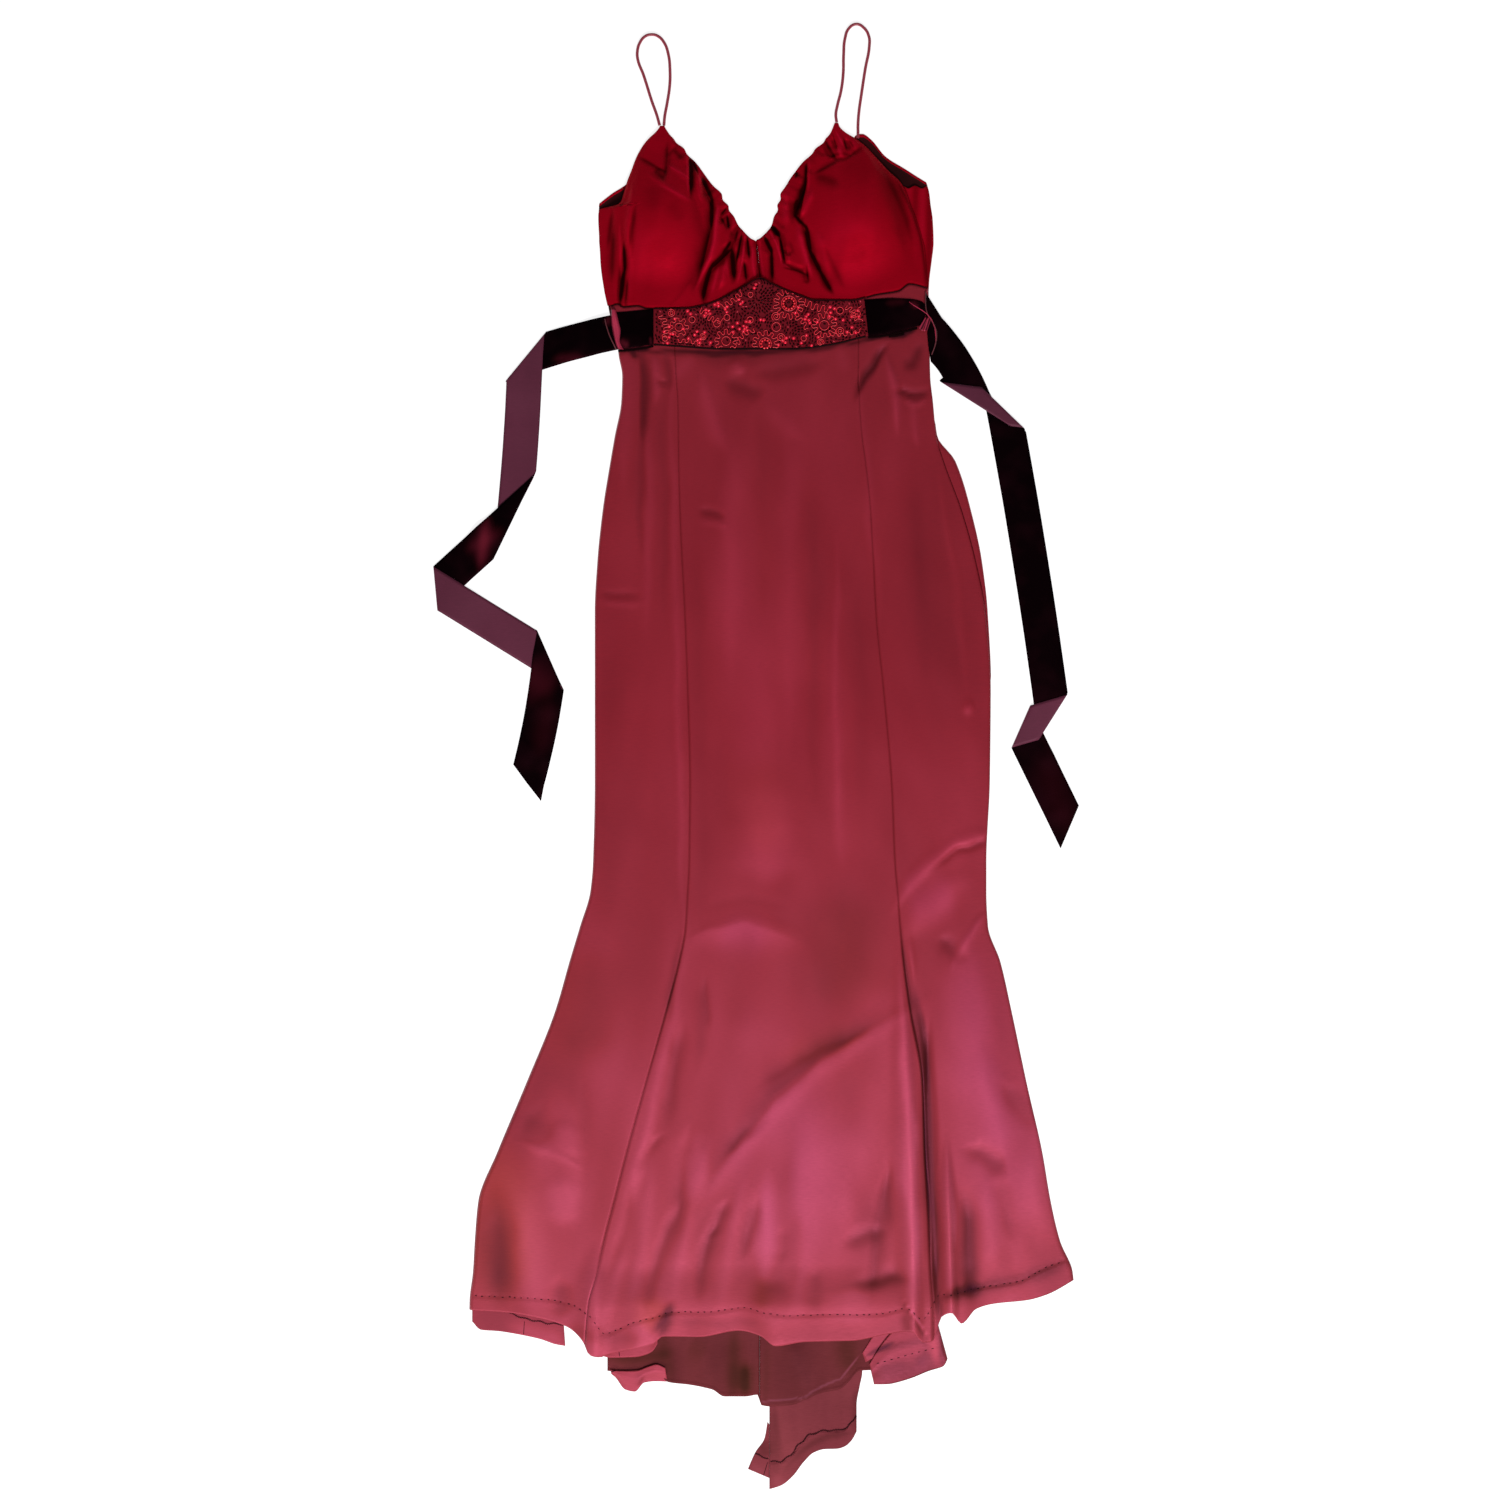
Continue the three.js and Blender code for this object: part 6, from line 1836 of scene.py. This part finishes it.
lines = [flower_line(**row) for row in FLOWERS]
lines += [ring_line(row["x"], row["y"], row["ring"]) for row in FLOWERS]
lines += [ring_line(**row) for row in RINGS]
lines += [spiral_line(**row) for row in SPIRALS]
lines += [vine_line(**row) for row in VINES]
worked = []
for line in lines:
    kept = in_band(line, 1)
    cuts = np.flatnonzero(np.diff(kept.astype(int))) + 1
    worked += [part for part in np.split(line, cuts) if len(part) > 3 and in_band(part[1:2], 1)[0]]
cord_look = dict(Roughness=0.42, Specular_IOR_Level=0.5)
cord_red = threads("cord_red", (0.95, 0.02, 0.045), (0.6, 0.01, 0.022), 1700, **cord_look)
tubes("couched_cord", [on_band(line, 0.55) for line in worked], 0.68, cord_red)
# A wider dark tube under each cord paints the shadow round it.
cord_shadow = finish("cord_painted_shadow", Base_Color=(0.02, 0.001, 0.002), **DARK)
tubes("cord_painted_shadow", [on_band(line, 0.05) for line in worked], 0.98, cord_shadow)


def shape(kind, size, **cuts):
    """Points and faces of one small thing, made from a primitive."""
    getattr(bpy.ops.mesh, f"primitive_{kind}_add")(**cuts)
    model = bpy.context.object
    points = np.array([list(corner.co) for corner in model.data.vertices]) * size
    faces = [list(face.vertices) for face in model.data.polygons]
    bpy.data.objects.remove(model)
    return points, faces


def sewn_on(name, model, spots, material, turns=0, tilts=0):
    """Copies of a small thing in one mesh, each with its own turn and tilt."""
    points, faces = model
    about, lean = (np.broadcast_to(angles, len(spots))[:, None] for angles in (turns, tilts))
    x, y, z = points.T
    leant_x, leant_z = x * np.cos(lean) + z * np.sin(lean), z * np.cos(lean) - x * np.sin(lean)
    turned_x = leant_x * np.cos(about) - y * np.sin(about)
    turned_y = leant_x * np.sin(about) + y * np.cos(about)
    corners = np.stack((turned_x, turned_y, leant_z), -1) + spots[:, None]
    firsts = range(0, len(points) * len(spots), len(points))
    every = [[first + corner for corner in face] for first in firsts for face in faces]
    piece = pieced(name, corners.reshape(-1, 3), every, (material,))
    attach(piece, "root")
    return piece


# Sequins lie between the flowers, some of them in clusters.
CLUSTERS = table(
    "x y count spread",
    (-75, 567, 2, 4), (-55, 566, 5, 4.5), (-47, 574, 3, 3.5), (-33, 570, 3, 3), (-92, 556, 3, 12),
    (-68, 545, 4, 12), (-15, 578, 3, 4), (-13, 548, 6, 4), (-8, 556, 2, 3), (60, 560, 5, 4.5),
    (66, 530, 4, 12), (85, 566, 3, 5), (98, 560, 4, 13), (-58, 531, 4, 13), (108, 545, 3, 6),
    (-104, 546, 3, 6), (48, 567, 2, 4), (46, 528, 4, 12), (-25, 549, 3, 6), (-2, 594, 2, 5),
    (30, 530, 2, 6), (-100, 530, 2, 6), (118, 566, 2, 5), (8, 560, 2, 8),
)
SEQUIN = 2.2  # its radius
TRIES = 40  # for a free place
seeds = np.random.default_rng(41)
spots = []
for row in CLUSTERS:
    for _ in range(row["count"]):
        for _ in range(TRIES):
            spot = np.array((row["x"], row["y"])) + seeds.normal(0, row["spread"] / 1.7, 2)
            free = not spots or apart(spot[None], np.array(spots), 3.1)[0]
            if in_band(spot[None], 2.4)[0] and free:
                spots.append(spot)
                break
sequin_spots = np.array(spots)
sequin_red = finish(
    "sequin_red",
    Base_Color=(0.85, 0.015, 0.045),
    Metallic=0.3,
    Roughness=0.3,
    Specular_IOR_Level=0.4,
    Specular_Tint=(1, 0.2, 0.25),
)
count = len(sequin_spots)
sewn_on(
    "sequins",
    shape("cylinder", (1, 1, 1), vertices=14, radius=SEQUIN, depth=0.25),
    on_band(sequin_spots, 0.85),
    sequin_red,
    seeds.uniform(0, 2 * np.pi, count),
    seeds.uniform(0.03, 0.35, count),
)

# Two of the flowers have a ring of round beads inside, and each of these and each sequin is topped
# with a bright seed bead.
BEAD_RINGS = table("flower radius beads turn", (1, 6.4, 12, 0), (3, 4.8, 9, 0.3))
ring_spots = []
for row in BEAD_RINGS:
    flower = FLOWERS[row["flower"]]
    angle = np.arange(row["beads"]) * 2 * np.pi / row["beads"] + row["turn"]
    ring_spots.append(circle(flower["x"], flower["y"], row["radius"], angle))
ring_spots = np.concatenate(ring_spots)
bright = on_band(np.concatenate((sequin_spots, ring_spots)), 1.2)
bright[count:, 2] -= 0.4
bead_bright = finish("bead_bright", Base_Color=(1, 0.14, 0.19), Roughness=0.25, Specular_IOR_Level=0.7)
seed_bead = shape("uv_sphere", (1, 1, 0.8), segments=10, ring_count=6, radius=0.62)
sewn_on("seed_beads_bright", seed_bead, bright, bead_bright)
ring_red = finish("bead_red", Base_Color=(0.85, 0.014, 0.03), Roughness=0.22, Specular_IOR_Level=0.6)
round_bead = shape("uv_sphere", (1, 1, 0.7), segments=12, ring_count=6, radius=1.45)
sewn_on("ring_beads", round_bead, on_band(ring_spots, 0.5), ring_red)

# The short beads follow arcs round these middles, or point at them like a spray.
SUNS = table(
    "x y spray",
    (2, 579, 1), (-100, 572, 0), (-34, 533, 0), (38, 576, 0), (78.5, 551, 0), (11, 529.5, 0),
    (-73, 557.5, 0), (-44.5, 553, 0), (23.5, 549, 0), (96.5, 568, 0), (-6, 596, 0), (-62, 529, 1),
    (108, 552, 1), (-20, 572, 1), (52, 536, 0), (-88, 549, 0), (-6.5, 557, 0), (97, 544.5, 0),
)
NARROW = 4  # the beads of a spray are closer together inside this radius
suns = np.array([(row["x"], row["y"]) for row in SUNS])
spots, turns = [], []
for number, (x, y, spray) in enumerate(row.values() for row in SUNS):
    for radius in np.arange(1.6, 46, 3.7 if spray else 3.0):
        pitch = 4.0 if not spray else 2.6 if radius < NARROW else 3.3
        many = max(3, int(2 * np.pi * radius / pitch))
        angle = (np.arange(many) + seeds.uniform()) * 2 * np.pi / many
        arc = circle(x, y, radius, angle)
        own = np.argmin(distance(arc, suns), axis=1) == number
        spots.append(arc[own])
        turns.append((angle if spray else angle + np.pi / 2)[own])
spots, turns = np.concatenate(spots), np.concatenate(turns)
spots = spots + seeds.normal(0, 0.16, spots.shape)
keep = in_band(spots, 1.3) & apart(spots, np.concatenate(worked), 1.9) & apart(spots, sequin_spots, 2.6)
spots, turns = spots[keep], turns[keep] + seeds.normal(0, 0.16, keep.sum())
BEAD_GAP = 2.9
sparse = []
for number, spot in enumerate(spots):
    if not sparse or apart(spot[None], spots[sparse], BEAD_GAP)[0]:
        sparse.append(number)
spots, turns = spots[sparse], turns[sparse]

# Most beads are nearly black, some wine and a few red. Each colour's share ends at this number.
BEADS = {
    "dark": (0.72, (0.010, 0.0004, 0.0008)),
    "wine": (0.93, (0.06, 0.002, 0.0035)),
    "red": (1.01, (0.45, 0.03, 0.05)),
}
glassy = dict(Roughness=0.14, Specular_IOR_Level=0.16, Specular_Tint=(1, 0.3, 0.35))
bugle = dict(segments=8, ring_count=5, radius=1)
draw = seeds.uniform(0, 1, len(spots))
start = 0
for name, (stop, colour) in BEADS.items():
    glass = finish(f"bead_{name}_glass", Base_Color=colour, **glassy)
    mine = (draw >= start) & (draw < stop)
    start = stop
    bead = shape("uv_sphere", (1.75, 0.95, 0.8), **bugle)
    lean = seeds.normal(0, 0.1, mine.sum())
    sewn_on(f"bugle_beads_{name}", bead, on_band(spots[mine], 0.4), glass, turns[mine], lean)

# ---------- Boxes --------------
# The box of the solids and that of the finished gown are kept side by side as lists, so that
# their sizes can be compared.
finished_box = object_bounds()
boxes = {"solids": solid_box, "gown": finished_box}
boxes = {name: [list(corner) for corner in box] for name, box in boxes.items()}
